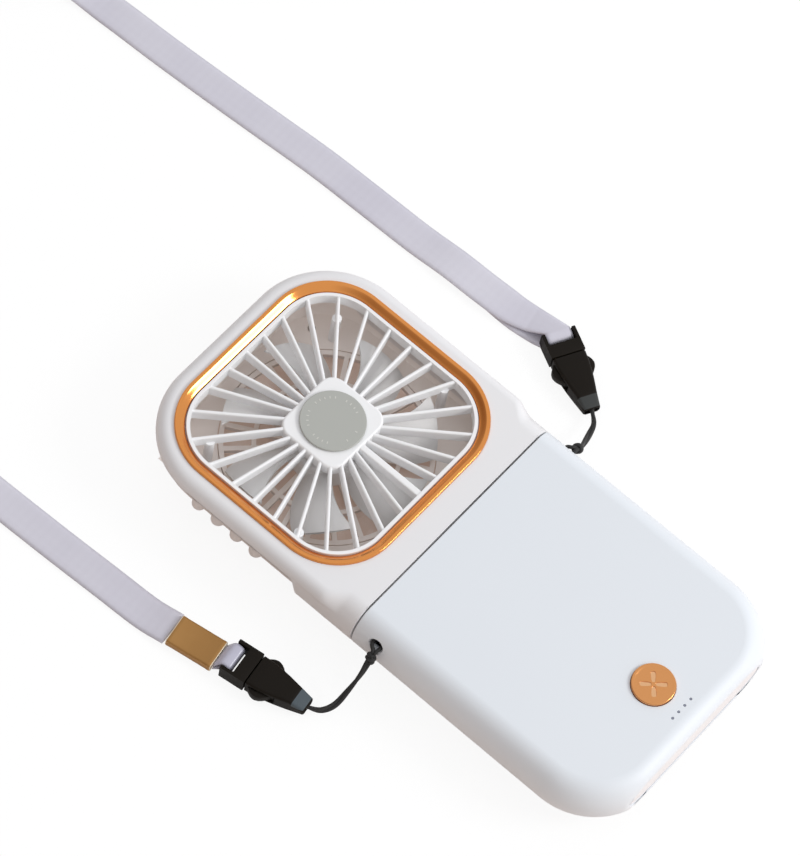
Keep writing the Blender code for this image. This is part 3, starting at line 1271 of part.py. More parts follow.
# Crimp and short loop that join the left ribbon to its buckle
CRIMP_NEAR = Vector((-0.0632, 0.0230, 0.0))
CRIMP_FAR = Vector((-0.0654, 0.0363, 0.0))
CRIMP_HALF_WIDTH = 0.0044
CRIMP_THICKNESS = 0.0030
CRIMP_EDGE = 0.0007
LOOP_WIDTH = 0.0072
LOOP_THICKNESS = 0.0007
crimp_along = (CRIMP_FAR - CRIMP_NEAR).normalized()
crimp_across = Vector((-crimp_along.y, crimp_along.x, 0.0))
crimp_rings = []
for centre in (CRIMP_NEAR, CRIMP_FAR):
    outline = rounded(CRIMP_HALF_WIDTH, CRIMP_THICKNESS / 2, CRIMP_EDGE, 2)
    lift = Vector((0.0, 0.0, CRIMP_THICKNESS / 2))
    crimp_rings.append([centre + lift + crimp_across * y + Vector((0.0, 0.0, z)) for y, z in outline])
piece("strap_crimp", loft("strap_crimp", crimp_rings), COPPER)


def bar_turn(carrier, thickness):
    """Points round the buckle's bar, from below it to above it, in the buckle's frame."""
    level = BAR_HALF_HEIGHT + CLEARANCE + thickness / 2
    near = bar_start - CLEARANCE - thickness / 2
    clear_end = BUCKLE_LENGTH + CLEARANCE
    shares = ((clear_end, -1.0), (bar_start + CLEARANCE, -1.0), (near + level / 5, -0.75), (near, -0.3),
              (near, 0.3), (near + level / 5, 0.75), (bar_start + CLEARANCE, 1.0), (clear_end, 1.0))
    return [carrier.matrix_world @ Vector((x, 0.0, buckle_mid + share * level)) for x, share in shares]


left_across = left_buckle.matrix_world.to_3x3() @ Vector((0.0, 1.0, 0.0))
crimp_face = CRIMP_NEAR - crimp_along * CLEARANCE
LOOP_LOW_Z = 0.0009
LOOP_HIGH_Z = 0.0024
left_turn = [crimp_face + Vector((0.0, 0.0, LOOP_LOW_Z))] + bar_turn(left_buckle, LOOP_THICKNESS)
left_turn.append(crimp_face + Vector((0.0, 0.0, LOOP_HIGH_Z)))
keeper_sections = [(point, left_across) for point in left_turn]
band("strap_keeper_loop", keeper_sections, LOOP_WIDTH, LOOP_THICKNESS, RIBBON_LILAC)

# Left ribbon: from the crimp along the floor, then up on its edge to the coil
STRAP_END_Z = 0.0015
LEFT_ROUTE = ((-0.0664, 0.0450), (-0.0670, 0.0580), (-0.0677, 0.0730), (-0.0683, 0.0900), (-0.0688, 0.1080),
              (-0.0694, 0.1300), (-0.0700, 0.1600), (-0.0703, 0.1900), (-0.0702, 0.2200))
left_start = CRIMP_FAR + crimp_along * CLEARANCE + Vector((0.0, 0.0, STRAP_END_Z))
left_route = [left_start] + [Vector((x, y, ribbon_rest)) for x, y in LEFT_ROUTE]
left_exit = (coil_points[1] - coil_points[0]).normalized()
left_end = coil_points[0] - left_exit * CLEARANCE
left_route.append(Vector((left_end.x, left_end.y, ribbon_rest)))
left_fine = smooth_route(left_route, 4)
left_sections = rolled(left_fine, 0.40, 0.75)
band("strap_left", left_sections, RIBBON_WIDTH, RIBBON_THICKNESS, RIBBON_LILAC)

# Right ribbon: sewn back on itself round the buckle's bar, then along the floor to the coil
GATHERED_WIDTH = 0.0072
GATHER_START = 0.0020
GATHER_END = 0.0160


def gathered(sections, place):
    """Sections drawn in near a place, where the ribbon goes between a buckle's ears."""
    narrowed = []
    for centre, across in sections:
        distance = math.hypot(centre.x - place.x, centre.y - place.y)
        share = blend(GATHERED_WIDTH / RIBBON_WIDTH, 1.0, smooth(distance, GATHER_START, GATHER_END))
        narrowed.append((centre, across * share))
    return narrowed


UNDER_LAYER_Z = ribbon_rest
LAYER_RISE = RIBBON_THICKNESS + CLEARANCE
UNDER_ROUTE = ((0.0665, 0.0500), (0.0667, 0.0420), (0.0672, 0.0330), (0.0684, 0.0265))
TOP_ROUTE = ((0.0684, 0.0275, 1.2), (0.0672, 0.0340, 1.0), (0.0667, 0.0430, 1.0), (0.0665, 0.0540, 1.0))
RIGHT_ROUTE = ((0.0663, 0.0660), (0.0660, 0.0820), (0.0656, 0.1000), (0.0644, 0.1180), (0.0632, 0.1360),
               (0.0622, 0.1540), (0.0616, 0.1700), (0.0606, 0.1840), (0.0572, 0.1960), (0.0500, 0.2050),
               (0.0390, 0.2092), (0.0220, 0.2098), (0.0020, 0.2088))
right_across = right_buckle.matrix_world.to_3x3() @ Vector((0.0, 1.0, 0.0))
under = [Vector((x, y, UNDER_LAYER_Z)) for x, y in UNDER_ROUTE]
over = [Vector((x, y, UNDER_LAYER_Z + LAYER_RISE * share)) for x, y, share in TOP_ROUTE]
right_turn = bar_turn(right_buckle, RIBBON_THICKNESS)
along_floor = [Vector((x, y, UNDER_LAYER_Z)) for x, y in RIGHT_ROUTE]
right_exit = (coil_points[-1] - coil_points[-2]).normalized()
right_end = coil_points[-1] + right_exit * CLEARANCE
along_floor.append(Vector((right_end.x, right_end.y, UNDER_LAYER_Z)))
under_sections = lying_sections(smooth_route(under, 2), -1)
turn_sections = [(point, right_across) for point in right_turn]
floor_fine = smooth_route(over + along_floor, 3)
floor_sections = rolled(floor_fine, 0.60, 0.88)
right_buckle_end = Vector((*BUCKLE_ENDS["right"], 0.0))
right_sections = gathered(under_sections + turn_sections + floor_sections, right_buckle_end)
band("strap_right", right_sections, RIBBON_WIDTH, RIBBON_THICKNESS, RIBBON_LILAC)

# Tie round the two layers at the coil's left side
TIE_HALF_WIDTH = 0.0035
tie_gap = RIBBON_THICKNESS / 2 + CLEARANCE * 4
tie_in_x = (-coil_inner - COIL_PITCH * COIL_LEFT_TURN / (2 * math.pi) - tie_gap, -coil_inner + tie_gap)
tie_in_z = (coil_z - RIBBON_WIDTH / 2 - CLEARANCE / 3, coil_z + RIBBON_WIDTH / 2 + CLEARANCE)
outer_x = (tie_in_x[0] - TIE_THICKNESS, tie_in_x[1] + TIE_THICKNESS)
outer_z = (0.0, tie_in_z[1] + TIE_THICKNESS)
tie_place = COIL_CENTRE
tie = piece("strap_tie", block("strap_tie", (outer_x[0], -TIE_HALF_WIDTH, outer_z[0]),
            (outer_x[1], TIE_HALF_WIDTH, outer_z[1])), BLACK_CORD, None, tie_place, flat=True)
tie_hole = block("tie_hole", (tie_in_x[0], -TIE_HALF_WIDTH - OVERRUN, tie_in_z[0]),
                 (tie_in_x[1], TIE_HALF_WIDTH + OVERRUN, tie_in_z[1]))
cut(tie, tool("tie_hole", tie_hole, None, tie_place))


def length_of(points):
    return sum((b - a).length for a, b in zip(points, points[1:]))


left_length = length_of([centre for centre, across in left_sections])
right_length = length_of([centre for centre, across in floor_sections])
total = left_length + right_length + length_of(coil_points)
print("ribbon from the crimp to the right buckle:", round(total, 4), "m")

# The origin moves from the seam to the middle of the length, on the floor
floor_frame = pivot("floor_frame", (0.0, (BODY_LENGTH - HEAD_LENGTH) / 2, 0.0))
for carried in list(parts.objects) + list(cutters.objects):
    if carried.parent is None and carried != floor_frame:
        carried.parent = floor_frame
bpy.context.view_layer.update()
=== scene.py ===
"""Folding pocket fan with a copper ring and a neck lanyard: finishes, cords, light and camera.

Metres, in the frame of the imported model: +Z out of the front grille, +Y towards the head.
"""

import math

import bmesh
import bpy
from mathutils import Matrix, Vector


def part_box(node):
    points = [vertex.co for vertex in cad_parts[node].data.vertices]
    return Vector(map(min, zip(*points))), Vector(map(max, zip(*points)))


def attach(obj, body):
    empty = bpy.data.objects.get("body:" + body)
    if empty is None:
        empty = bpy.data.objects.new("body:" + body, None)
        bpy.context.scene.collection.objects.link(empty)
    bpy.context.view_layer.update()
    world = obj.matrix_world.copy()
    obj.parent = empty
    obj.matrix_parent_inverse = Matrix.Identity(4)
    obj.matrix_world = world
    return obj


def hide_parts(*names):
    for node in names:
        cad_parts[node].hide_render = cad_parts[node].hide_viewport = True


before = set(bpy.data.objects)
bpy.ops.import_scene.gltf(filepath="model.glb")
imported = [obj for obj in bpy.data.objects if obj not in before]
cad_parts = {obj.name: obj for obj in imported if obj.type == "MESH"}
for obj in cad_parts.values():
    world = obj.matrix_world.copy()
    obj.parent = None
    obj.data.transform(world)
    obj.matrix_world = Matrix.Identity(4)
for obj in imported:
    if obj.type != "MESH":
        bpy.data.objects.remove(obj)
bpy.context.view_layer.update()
scene = bpy.context.scene
scene.view_settings.view_transform = "Standard"

# Camera
# A long lens, high on the left of the battery end and fitted to the outlines in the photograph,
# so that the fan lies across the picture with its head at the upper left.
PHOTO_SIZE = (800, 856)
FOCAL_PIXELS = 5183.93
SENSOR = 36.0
CLIP = (0.05, 20.0)
MIDDLE_FROM_SEAM = 0.00105
CAMERA_PLACE = Vector((-0.543353, -0.270282 + MIDDLE_FROM_SEAM, 1.201834))
PICTURE_RIGHT = Vector((0.64742, -0.75365, 0.11341))
PICTURE_DOWN = Vector((-0.64009, -0.61847, -0.45583))


def linked(name, data):
    made = bpy.data.objects.new(name, data)
    scene.collection.objects.link(made)
    return made


camera = linked("camera", bpy.data.cameras.new("camera"))
camera.data.sensor_width = SENSOR
camera.data.lens = FOCAL_PIXELS * SENSOR / max(PHOTO_SIZE)
camera.data.clip_start, camera.data.clip_end = CLIP
picture_up = -PICTURE_DOWN
turn = Matrix((PICTURE_RIGHT, picture_up, PICTURE_RIGHT.cross(picture_up))).transposed().to_4x4()
camera.matrix_world = Matrix.Translation(CAMERA_PLACE) @ turn
scene.camera = camera

# Neck ribbon
# One woven satin ribbon: the crimp holds its left end, and its right end is folded round the
# buckle's bar and sewn underneath. It lies flat by the fan, and its spare length stands on its
# edge in a loose coil that an elastic tie holds.
TURN = 2 * math.pi
QUARTER = math.pi / 2
UP = Vector((0.0, 0.0, 1.0))
TO_MIDDLE = Vector((0.0, MIDDLE_FROM_SEAM, 0.0))
RIBBON_WIDTH = 0.0100
RIBBON_THICKNESS = 0.0008
RIBBON_COLOUR = (0.725, 0.715, 0.78, 1.0)
RIBBON_SHADE = (0.56, 0.545, 0.635, 1.0)
RIBBON_THREAD = 2600.0
RIBBON_BUMP = 0.00003
THREAD_SHARES = (("Y", 0.35), ("X", 0.12))
RIPPLE_SHARE = 3.0
RIPPLE_SCALE = 30.0
SHEEN_ROUGHNESS = 0.35
STRIP_STEPS = 8
STRIP_MIDDLE, STRIP_SIDE, STRIP_EDGE = 0.72, 0.28, 0.35
TIE_THICKNESS = 0.0006
CLEARANCE = 0.0003
BUCKLE_LENGTH = 0.0241
BUCKLE_THICKNESS = 0.0052
BUCKLE_TIPS = {"left": (-0.0584, -0.0031), "right": (0.0579, -0.0014)}
BUCKLE_ENDS = {"left": (-0.0618, 0.0208), "right": (0.0692, 0.0205)}
BAR_HALF_HEIGHT = 0.0010
BAR_SHARE = 0.075
COIL_CENTRE = Vector((-0.0190, 0.2570, 0.0))
COIL_BEND = 0.0230
COIL_PITCH = 0.0100
COIL_POINTS_IN_TURN = 26
CRIMP_NEAR = Vector((-0.0632, 0.0230, 0.0))
CRIMP_FAR = Vector((-0.0654, 0.0363, 0.0))
STRAP_END_Z = 0.0015
LEFT_ROUTE = ((-0.0664, 0.0450), (-0.0670, 0.0580), (-0.0677, 0.0730), (-0.0683, 0.0900),
              (-0.0688, 0.1080), (-0.0694, 0.1300), (-0.0700, 0.1600), (-0.0703, 0.1900),
              (-0.0702, 0.2200))
LEFT_ROLL = (0.40, 0.75)
UNDER_ROUTE = ((0.0664, 0.0500), (0.0660, 0.0420), (0.0663, 0.0330), (0.0676, 0.0262),
               (0.0687, 0.0228))
TOP_ROUTE = ((0.0684, 0.0275, 1.2), (0.0672, 0.0340, 1.0), (0.0667, 0.0430, 1.0),
             (0.0665, 0.0540, 1.0))
RIGHT_ROUTE = ((0.0663, 0.0660), (0.0660, 0.0820), (0.0656, 0.1000), (0.0644, 0.1180),
               (0.0632, 0.1360), (0.0622, 0.1540), (0.0616, 0.1700), (0.0606, 0.1840),
               (0.0572, 0.1960), (0.0500, 0.2050), (0.0390, 0.2092), (0.0220, 0.2098),
               (0.0020, 0.2088))
RIGHT_ROLL = (0.60, 0.88)
GATHERED_WIDTH = 0.0072
GATHER_START = 0.0003
GATHER_END = 0.0180
UNDER_GATHER_END = 0.0019
UNDER_END_SHARE = 0.62
ribbon_rest = RIBBON_THICKNESS / 2 + TIE_THICKNESS / 6
coil_z = TIE_THICKNESS + ribbon_rest + (RIBBON_WIDTH - RIBBON_THICKNESS) / 2
coil_inner = 2 * COIL_BEND
buckle_mid = BUCKLE_THICKNESS / 2
bar_start = BUCKLE_LENGTH * (1 - BAR_SHARE)


def between(a, b, share):
    return a + (b - a) * share


def steps_between(first, last, count):
    return [between(first, last, i / count) for i in range(count + 1)]


def eased(value, start, end):
    share = min(1.0, max(0.0, (value - start) / (end - start)))
    return share * share * (3 - 2 * share)


def polar(radius, angle):
    return radius * math.cos(angle), radius * math.sin(angle)


def way_at(points, i):
    """The way along a row of points at one of them."""
    return points[min(i + 1, len(points) - 1)] - points[max(i - 1, 0)]


def length_of(points):
    return sum((b - a).length for a, b in zip(points, points[1:]))


def smooth_route(points, per_span):
    """Points on a smooth curve through a route's own points."""
    padded = [points[0] * 2 - points[1]] + list(points) + [points[-1] * 2 - points[-2]]
    fine = []
    for i in range(1, len(padded) - 2):
        before, here, after, beyond = padded[i - 1:i + 3]
        for step in range(per_span):
            t = step / per_span
            fine.append(0.5 * ((2 * here) + (after - before) * t
                        + (2 * before - 5 * here + 4 * after - beyond) * t * t
                        + (3 * here - before - 3 * after + beyond) * t * t * t))
    fine.append(padded[-2])
    return fine


def lying_sections(points, sign=1):
    """Each point with the level direction of the ribbon's width there."""
    ways = [way_at(points, i) for i in range(len(points))]
    return [(point, Vector((-way.y, way.x, 0.0)).normalized() * sign)
            for point, way in zip(points, ways)]


def rolled(points, start, end):
    """Sections that roll up on their edge between two shares of the points, and rise with it."""
    sections = []
    for i, (point, across) in enumerate(lying_sections(points)):
        risen = eased(i / (len(points) - 1), start, end)
        roll = QUARTER * risen
        rise = (RIBBON_WIDTH - RIBBON_THICKNESS) / 2 * math.sin(roll) + TIE_THICKNESS * risen
        sections.append((point + UP * rise, across * math.cos(roll) + UP * math.sin(roll)))
    return sections


def coil_arm(start_angle, turn_angle):
    count = max(4, round(COIL_POINTS_IN_TURN * turn_angle / TURN))
    points = []
    for gone in steps_between(0.0, turn_angle, count):
        x, y = polar(coil_inner + COIL_PITCH * gone / TURN, start_angle + gone)
        points.append(COIL_CENTRE + Vector((x, y, coil_z)))
    return points


def coil_path():
    """The S bend in the middle of the coil, with an arm outwards from each of its ends."""
    count = round(COIL_POINTS_IN_TURN / 3)
    first = []
    for angle in steps_between(0.0, -math.pi, count)[1:]:
        x, y = polar(COIL_BEND, angle)
        first.append(COIL_CENTRE + Vector((COIL_BEND + x, y, coil_z)))
    second = [COIL_CENTRE * 2 - point + UP * 2 * coil_z for point in first[:-1]]
    return coil_arm(0.0, math.pi)[::-1] + first + second[::-1] + coil_arm(math.pi, QUARTER)


def buckle_frame(words):
    """The frame of a buckle: its tip at the origin, +X towards the strap."""
    tip, end = BUCKLE_TIPS[words], BUCKLE_ENDS[words]
    heading = math.atan2(end[1] - tip[1], end[0] - tip[0])
    return Matrix.Translation(Vector((*tip, 0.0)) + TO_MIDDLE) @ Matrix.Rotation(heading, 4, "Z")


def bar_turn(words, thickness):
    """Points round a buckle's bar, from below it to above it."""
    level = BAR_HALF_HEIGHT + CLEARANCE + thickness / 2
    near = bar_start - CLEARANCE - thickness / 2
    clear_end = BUCKLE_LENGTH + CLEARANCE
    below = ((clear_end, -1.0), (bar_start + CLEARANCE, -1.0), (near + level / 5, -0.75),
             (near, -0.3))
    above = tuple((x, -share) for x, share in below[::-1])
    return [buckle_frame(words) @ Vector((x, 0.0, buckle_mid + share * level))
            for x, share in below + above]


def mesh_of(shape, name):
    mesh = bpy.data.meshes.new(name)
    shape.to_mesh(mesh)
    shape.free()
    return mesh


def loft(name, rings, closed=False, centres=(), rounds=()):
    """Skin rings of points; a line's centres and lengths round it add smooth sides with UVs."""
    shape = bmesh.new()
    rows = [[shape.verts.new(point) for point in ring] for ring in rings]
    lengths = [length_of(centres[:i + 1]) for i in range(len(centres))]
    uv = shape.loops.layers.uv.new("metres") if centres else None
    count = len(rows[0])
    uppers = rows[1:] + rows[:1] if closed else rows[1:]
    for row, (lower, upper) in enumerate(zip(rows, uppers)):
        for i in range(count):
            j = (i + 1) % count
            made = shape.faces.new((lower[i], lower[j], upper[j], upper[i]))
            if centres:
                made.smooth = True
                corners = ((i, row), (i + 1, row), (i + 1, row + 1), (i, row + 1))
                for loop, (spot, along) in zip(made.loops, corners):
                    loop[uv].uv = (rounds[spot], lengths[along])
    if not closed:
        shape.faces.new(rows[0][::-1])
        shape.faces.new(rows[-1])
    bmesh.ops.recalc_face_normals(shape, faces=shape.faces[:])
    return mesh_of(shape, name)


def strip(name, sections, width, thickness):
    """A woven band; a section whose across vector is short is gathered."""
    half = []
    for share in steps_between(-1.0, 1.0, STRIP_STEPS):
        height = STRIP_MIDDLE + STRIP_SIDE * share ** 4 if abs(share) < 1 else STRIP_EDGE
        half.append((share, height))
    outline = half + [(share, -height) for share, height in half[::-1]]
    centres = [centre for centre, across in sections]
    rows = []
    for i, (centre, across) in enumerate(sections):
        face = way_at(centres, i).cross(across).normalized()
        rows.append([centre + across * width / 2 * a + face * thickness / 2 * b
                     for a, b in outline])
    return loft(name, rows, centres=centres,
                rounds=[a * width / 2 for a, b in outline + outline[:1]])


def show(name, mesh, look, body, stands_for=()):
    """A piece of the fan, which rides on a body and stands for the CAD nodes named."""
    made = linked(name, mesh)
    mesh.materials.append(look)
    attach(made, body)
    if stands_for:
        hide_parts(*stands_for)
    return made


def feed(tree, node, values):
    """Fill a node's inputs: a socket is linked, and a number or a colour is set."""
    for key, value in values.items():
        if isinstance(value, bpy.types.NodeSocket):
            tree.links.new(value, node.inputs[key])
        else:
            node.inputs[key].default_value = value
    return node


def new_node(tree, kind, values):
    return feed(tree, tree.nodes.new("ShaderNode" + kind), values)


def reckoned(tree, operation, first, second, clamp=False):
    """The result of a Math node on two sockets or numbers."""
    node = new_node(tree, "Math", {0: first, 1: second})
    node.operation, node.use_clamp = operation, clamp
    return node.outputs[0]


def product(tree, first, second):
    return reckoned(tree, "MULTIPLY", first, second)


def mixed(tree, factor, first, second):
    """A colour between two sockets or colours."""
    node = tree.nodes.new("ShaderNodeMix")
    node.data_type = "RGBA"
    return feed(tree, node, {0: factor, 6: first, 7: second}).outputs[2]


def split_up(tree, place):
    return new_node(tree, "SeparateXYZ", {0: place}).outputs


def group_of(name, inputs, outputs):
    """An empty shader group with named sockets, and its two end nodes."""
    group = bpy.data.node_groups.new(name, "ShaderNodeTree")
    for way, sockets in (("INPUT", inputs), ("OUTPUT", outputs)):
        for socket_name, kind in sockets:
            group.interface.new_socket(name=socket_name, in_out=way,
                                       socket_type="NodeSocket" + kind)
    return group, group.nodes.new("NodeGroupInput").outputs, group.nodes.new("NodeGroupOutput")


def finish(name, group, values, shader_values, bump_height):
    """A material whose Principled shader takes its colour, bump and more from a group."""
    look = bpy.data.materials.new(name)
    look.use_nodes = True
    tree = look.node_tree
    texture = tree.nodes.new("ShaderNodeGroup")
    texture.node_tree = group
    feed(tree, texture, values)
    bump = new_node(tree, "Bump", {"Strength": 1.0, "Distance": bump_height,
                                   "Height": texture.outputs["Height"]})
    feed(tree, tree.nodes["Principled BSDF"], {"Normal": bump.outputs["Normal"], **shader_values})
    return look, tree, texture.outputs


def weave_group():
    """Threads across and along a band, from its own lengths: a shade and a height."""
    group, ins, outs = group_of(
        "weave", [("Place", "Vector"), ("Thread", "Float")],
        [("Shade", "Float"), ("Height", "Float")])
    ripple = new_node(group, "TexNoise", {"Detail": 3.0, "Vector": ins["Place"],
                                          "Scale": RIPPLE_SCALE}).outputs["Fac"]
    place = split_up(group, ins["Place"])
    height = product(group, ripple, RIPPLE_SHARE)
    for way, share in THREAD_SHARES:
        thread = reckoned(group, "SINE", product(group, place[way], ins["Thread"]), 0.0)
        height = reckoned(group, "ADD", product(group, thread, share), height)
    feed(group, outs, {"Shade": ripple, "Height": height})
    return group


weave = weave_group()


def woven_look(name, colour, shade, thread, bump_height, roughness, sheen):
    look, tree, cloth = finish(name, weave, {"Thread": thread},
                               {"Roughness": roughness, "Sheen Weight": sheen,
                                "Sheen Roughness": SHEEN_ROUGHNESS}, bump_height)
    place = new_node(tree, "UVMap", {})
    place.uv_map = "metres"
    feed(tree, cloth["Shade"].node, {"Place": place.outputs["UV"]})
    feed(tree, tree.nodes["Principled BSDF"],
         {"Base Color": mixed(tree, cloth["Shade"], shade, colour)})
    return look


ribbon_look = woven_look("satin_ribbon", RIBBON_COLOUR, RIBBON_SHADE, RIBBON_THREAD, RIBBON_BUMP,
                         0.42, 0.25)


def on_table(route, level=ribbon_rest):
    return [Vector((x, y, level)) for x, y in route]


def clear_of(end, next_in):
    """A place on the table one clearance beyond the end of the coil."""
    beyond = end + (end - next_in).normalized() * CLEARANCE
    return on_table([(beyond.x, beyond.y)])


coil_points = coil_path()
crimp_along = (CRIMP_FAR - CRIMP_NEAR).normalized()
left_route = ([CRIMP_FAR + crimp_along * CLEARANCE + UP * STRAP_END_Z] + on_table(LEFT_ROUTE)
              + clear_of(coil_points[0], coil_points[1]))
left_sections = rolled(smooth_route(left_route, 8), *LEFT_ROLL)
coil_sections = [(point, UP) for point in smooth_route(coil_points, 3)]
over = [Vector((x, y, ribbon_rest + (RIBBON_THICKNESS + CLEARANCE) * share))
        for x, y, share in TOP_ROUTE]
along_floor = on_table(RIGHT_ROUTE) + clear_of(coil_points[-1], coil_points[-2])
floor_sections = rolled(smooth_route(over + along_floor, 6), *RIGHT_ROLL)
across_buckle = {words: buckle_frame(words).to_3x3() @ Vector((0.0, 1.0, 0.0))
                 for words in ("left", "right")}
turn_sections = [(point - TO_MIDDLE, across_buckle["right"])
                 for point in bar_turn("right", RIBBON_THICKNESS)]
under_sections = lying_sections(smooth_route(on_table(UNDER_ROUTE), 4), -1)
under_sections = [(centre, across * between(UNDER_END_SHARE, 1.0,
                                            eased(i, 0, len(under_sections) - 1)))
                  for i, (centre, across) in enumerate(under_sections)]
gathered = []
right_end = Vector((*BUCKLE_ENDS["right"], 0.0))
for part, end in ((under_sections, UNDER_GATHER_END),
                  (turn_sections + floor_sections, GATHER_END)):
    for centre, across in part:
        distance = (centre - right_end).xy.length
        share = between(GATHERED_WIDTH / RIBBON_WIDTH, 1.0, eased(distance, GATHER_START, end))
        gathered.append((centre, across * share))
ribbon_sections = [(point + TO_MIDDLE, across)
                   for point, across in left_sections + coil_sections + gathered[::-1]]
ribbon = show("neck_ribbon", strip("neck_ribbon", ribbon_sections, RIBBON_WIDTH, RIBBON_THICKNESS),
              ribbon_look, "battery_body", ("strap_left", "strap_coil", "strap_right"))

# Short ribbon loop
# A narrow loop of woven satin, folded round the left buckle's bar. The crimp holds both of its
# ends, and so joins the buckle to the ribbon.
LOOP_WIDTH = 0.0072
LOOP_THICKNESS = 0.0007
LOOP_LOW_Z = 0.0009
LOOP_HIGH_Z = 0.0024
crimp_face = CRIMP_NEAR - crimp_along * CLEARANCE + TO_MIDDLE
loop_points = ([crimp_face + UP * LOOP_LOW_Z] + bar_turn("left", LOOP_THICKNESS)
               + [crimp_face + UP * LOOP_HIGH_Z])
loop_look = woven_look("satin_loop", (0.72, 0.71, 0.80, 1.0), (0.40, 0.40, 0.52, 1.0),
                       RIBBON_THREAD, RIBBON_BUMP, 0.26, 0.2)
loop_sections = [(point, across_buckle["left"]) for point in smooth_route(loop_points, 3)]
keeper = show("keeper_loop", strip("keeper_loop", loop_sections, LOOP_WIDTH, LOOP_THICKNESS),
              loop_look, "battery_body", ("strap_keeper_loop",))

# Cord loops
# Thin braided cord, doubled from the buckle's mouth round the steel pin in each side of the body,
# with a knot outside the body.
CORD_DIAMETER = 0.00105
CORD_SIDES = 12
CORD_END_IN_MOUTH = 0.0016
CORD_STRAND_HALF = 0.00036
CORD_TWIST_STEP = 0.16
EYE_FROM_SEAM = 0.0072
EYE_PIN_X = 0.0364
EYE_PIN_RADIUS = 0.0005
EYE_Z = 0.0151
CORD_ROUTES = {
    "left": [(-0.0384, -0.0073, 0.0151), (-0.0404, -0.0080, 0.0147), (-0.0426, -0.0082, 0.0120),
             (-0.0449, -0.0083, 0.0088), (-0.0490, -0.0081, 0.0053), (-0.0535, -0.0078, 0.0033),
             (-0.0568, -0.0061, 0.0027)],
    "right": [(0.0384, -0.0074, 0.0151), (0.0403, -0.0081, 0.0147), (0.0423, -0.0081, 0.0121),
              (0.0444, -0.0076, 0.0090), (0.0478, -0.0067, 0.0063), (0.0516, -0.0056, 0.0043),
              (0.0552, -0.0042, 0.0030)],
}
KNOT_RADIUS = 0.00095
KNOT_TURNS = 2.0
KNOT_LENGTH = 0.0020
KNOT_STEP = 9
KNOT_STEPS_IN_TURN = 20
cord_turn = EYE_PIN_RADIUS + CLEARANCE + CORD_DIAMETER / 2


def rope(name, points, diameter):
    """A round cord along points."""
    rows = []
    side = None
    for i, point in enumerate(points):
        ahead = way_at(points, i).normalized()
        side = side or ahead.orthogonal().normalized()
        side = (side - ahead * side.dot(ahead)).normalized()
        other = ahead.cross(side)
        angles = [TURN * k / CORD_SIDES for k in range(CORD_SIDES)]
        rows.append([point + (side * math.cos(a) + other * math.sin(a)) * diameter / 2
                     for a in angles])
    return loft(name, rows, centres=points,
                rounds=steps_between(0.0, math.pi * diameter, CORD_SIDES))


cord_look = woven_look("braided_cord", (0.020, 0.019, 0.018, 1.0), (0.008, 0.008, 0.008, 1.0),
                       6500.0, 0.00005, 0.7, 0.15)
for words, side in (("left", -1), ("right", 1)):
    carrier = buckle_frame(words)
    tip = carrier.translation + UP * buckle_mid
    route = [Vector(p) + TO_MIDDLE for p in CORD_ROUTES[words]]
    route += [tip, tip + carrier.to_3x3() @ Vector((CORD_END_IN_MOUTH, 0.0, 0.0))]
    fine = smooth_route(route, 6)
    out, back = [], []
    for i, (point, across) in enumerate(lying_sections(fine)):
        spread = between(cord_turn, CORD_STRAND_HALF, eased(i, 0, KNOT_STEP - 3))
        twist = CORD_TWIST_STEP * max(0, i - KNOT_STEP)
        turned = (across * math.cos(twist)
                  + across.cross(way_at(fine, i).normalized()) * math.sin(twist))
        out.append(point + turned * spread)
        back.append(point - turned * spread)
    centre = Vector((side * EYE_PIN_X, -EYE_FROM_SEAM, EYE_Z)) + TO_MIDDLE
    bend = []
    for angle in steps_between(QUARTER, 3 * QUARTER, 12):
        x, y = polar(cord_turn, angle)
        bend.append(centre + Vector((side * x, y, 0.0)))
    if (out[0] - bend[0]).length > (back[0] - bend[0]).length:
        out, back = back, out
    line = out[::-1] + bend + back
    knot_way = (fine[KNOT_STEP + 2] - fine[KNOT_STEP - 2]).normalized()
    knot_side = knot_way.orthogonal().normalized()
    knot_other = knot_way.cross(knot_side)
    winding = []
    for gone in steps_between(0.0, 1.0, int(KNOT_TURNS * KNOT_STEPS_IN_TURN)):
        x, y = polar(KNOT_RADIUS, TURN * KNOT_TURNS * gone)
        winding.append(fine[KNOT_STEP] + knot_way * KNOT_LENGTH * (gone - 0.5)
                       + knot_side * x + knot_other * y)
    [
        show(words + part, rope(words + part, points, CORD_DIAMETER), cord_look, "battery_body",
             stands_for)
        for part, points, stands_for in (("_cord", line, (words + "_cord_loop",)),
                                         ("_cord_knot", winding, ()))]

# Side-release buckles
# Black acetal: a hollow tapered socket on the cord, and a plug with two prongs and a bar for the
# strap. The tip of each socket has a flat facet, whose top carries a painted reflection, paler
# on the left buckle than on the right.
BUCKLE_WIDTH = 0.0098
SOCKET_SHARE = 0.68
SOCKET_WIDTH_SHARES = ((0.0, 0.48, 0.46), (0.02, 0.50, 0.52), (0.24, 0.585, 0.97),
                       (0.26, 0.595, 1.0), (0.38, 0.69, 1.0), (0.50, 0.78, 1.0), (0.65, 0.87, 1.0),
                       (0.80, 0.94, 1.0), (1.0, 0.97, 1.0))
SOCKET_EDGE = 0.0009
CAVITY_HALF = 0.0038
CAVITY_HALF_HEIGHT = 0.0015
CORD_MOUTH_DEPTH = 0.0030
CORD_MOUTH_HALF = 0.0017
CORD_MOUTH_HALF_HEIGHT = 0.0009
RELEASE_SHARES = (0.48, 0.92)
COLLAR_SHARE = 0.16
EAR_WIDTH = 0.0010
PAINTED_FACET_REFLECTIONS = {"left": (0.085, 0.105, 0.120, 1.0), "right": (0.050, 0.053, 0.052, 1.0)}
FACET_RUN = (0.0003, 0.0036)
FACET_LOW_Z = 0.0037
PRONG_THICKNESS = 0.0014
PRONG_OUT = 0.0033
PRONG_BULGE = 0.0061
PRONG_PEAK = 0.7
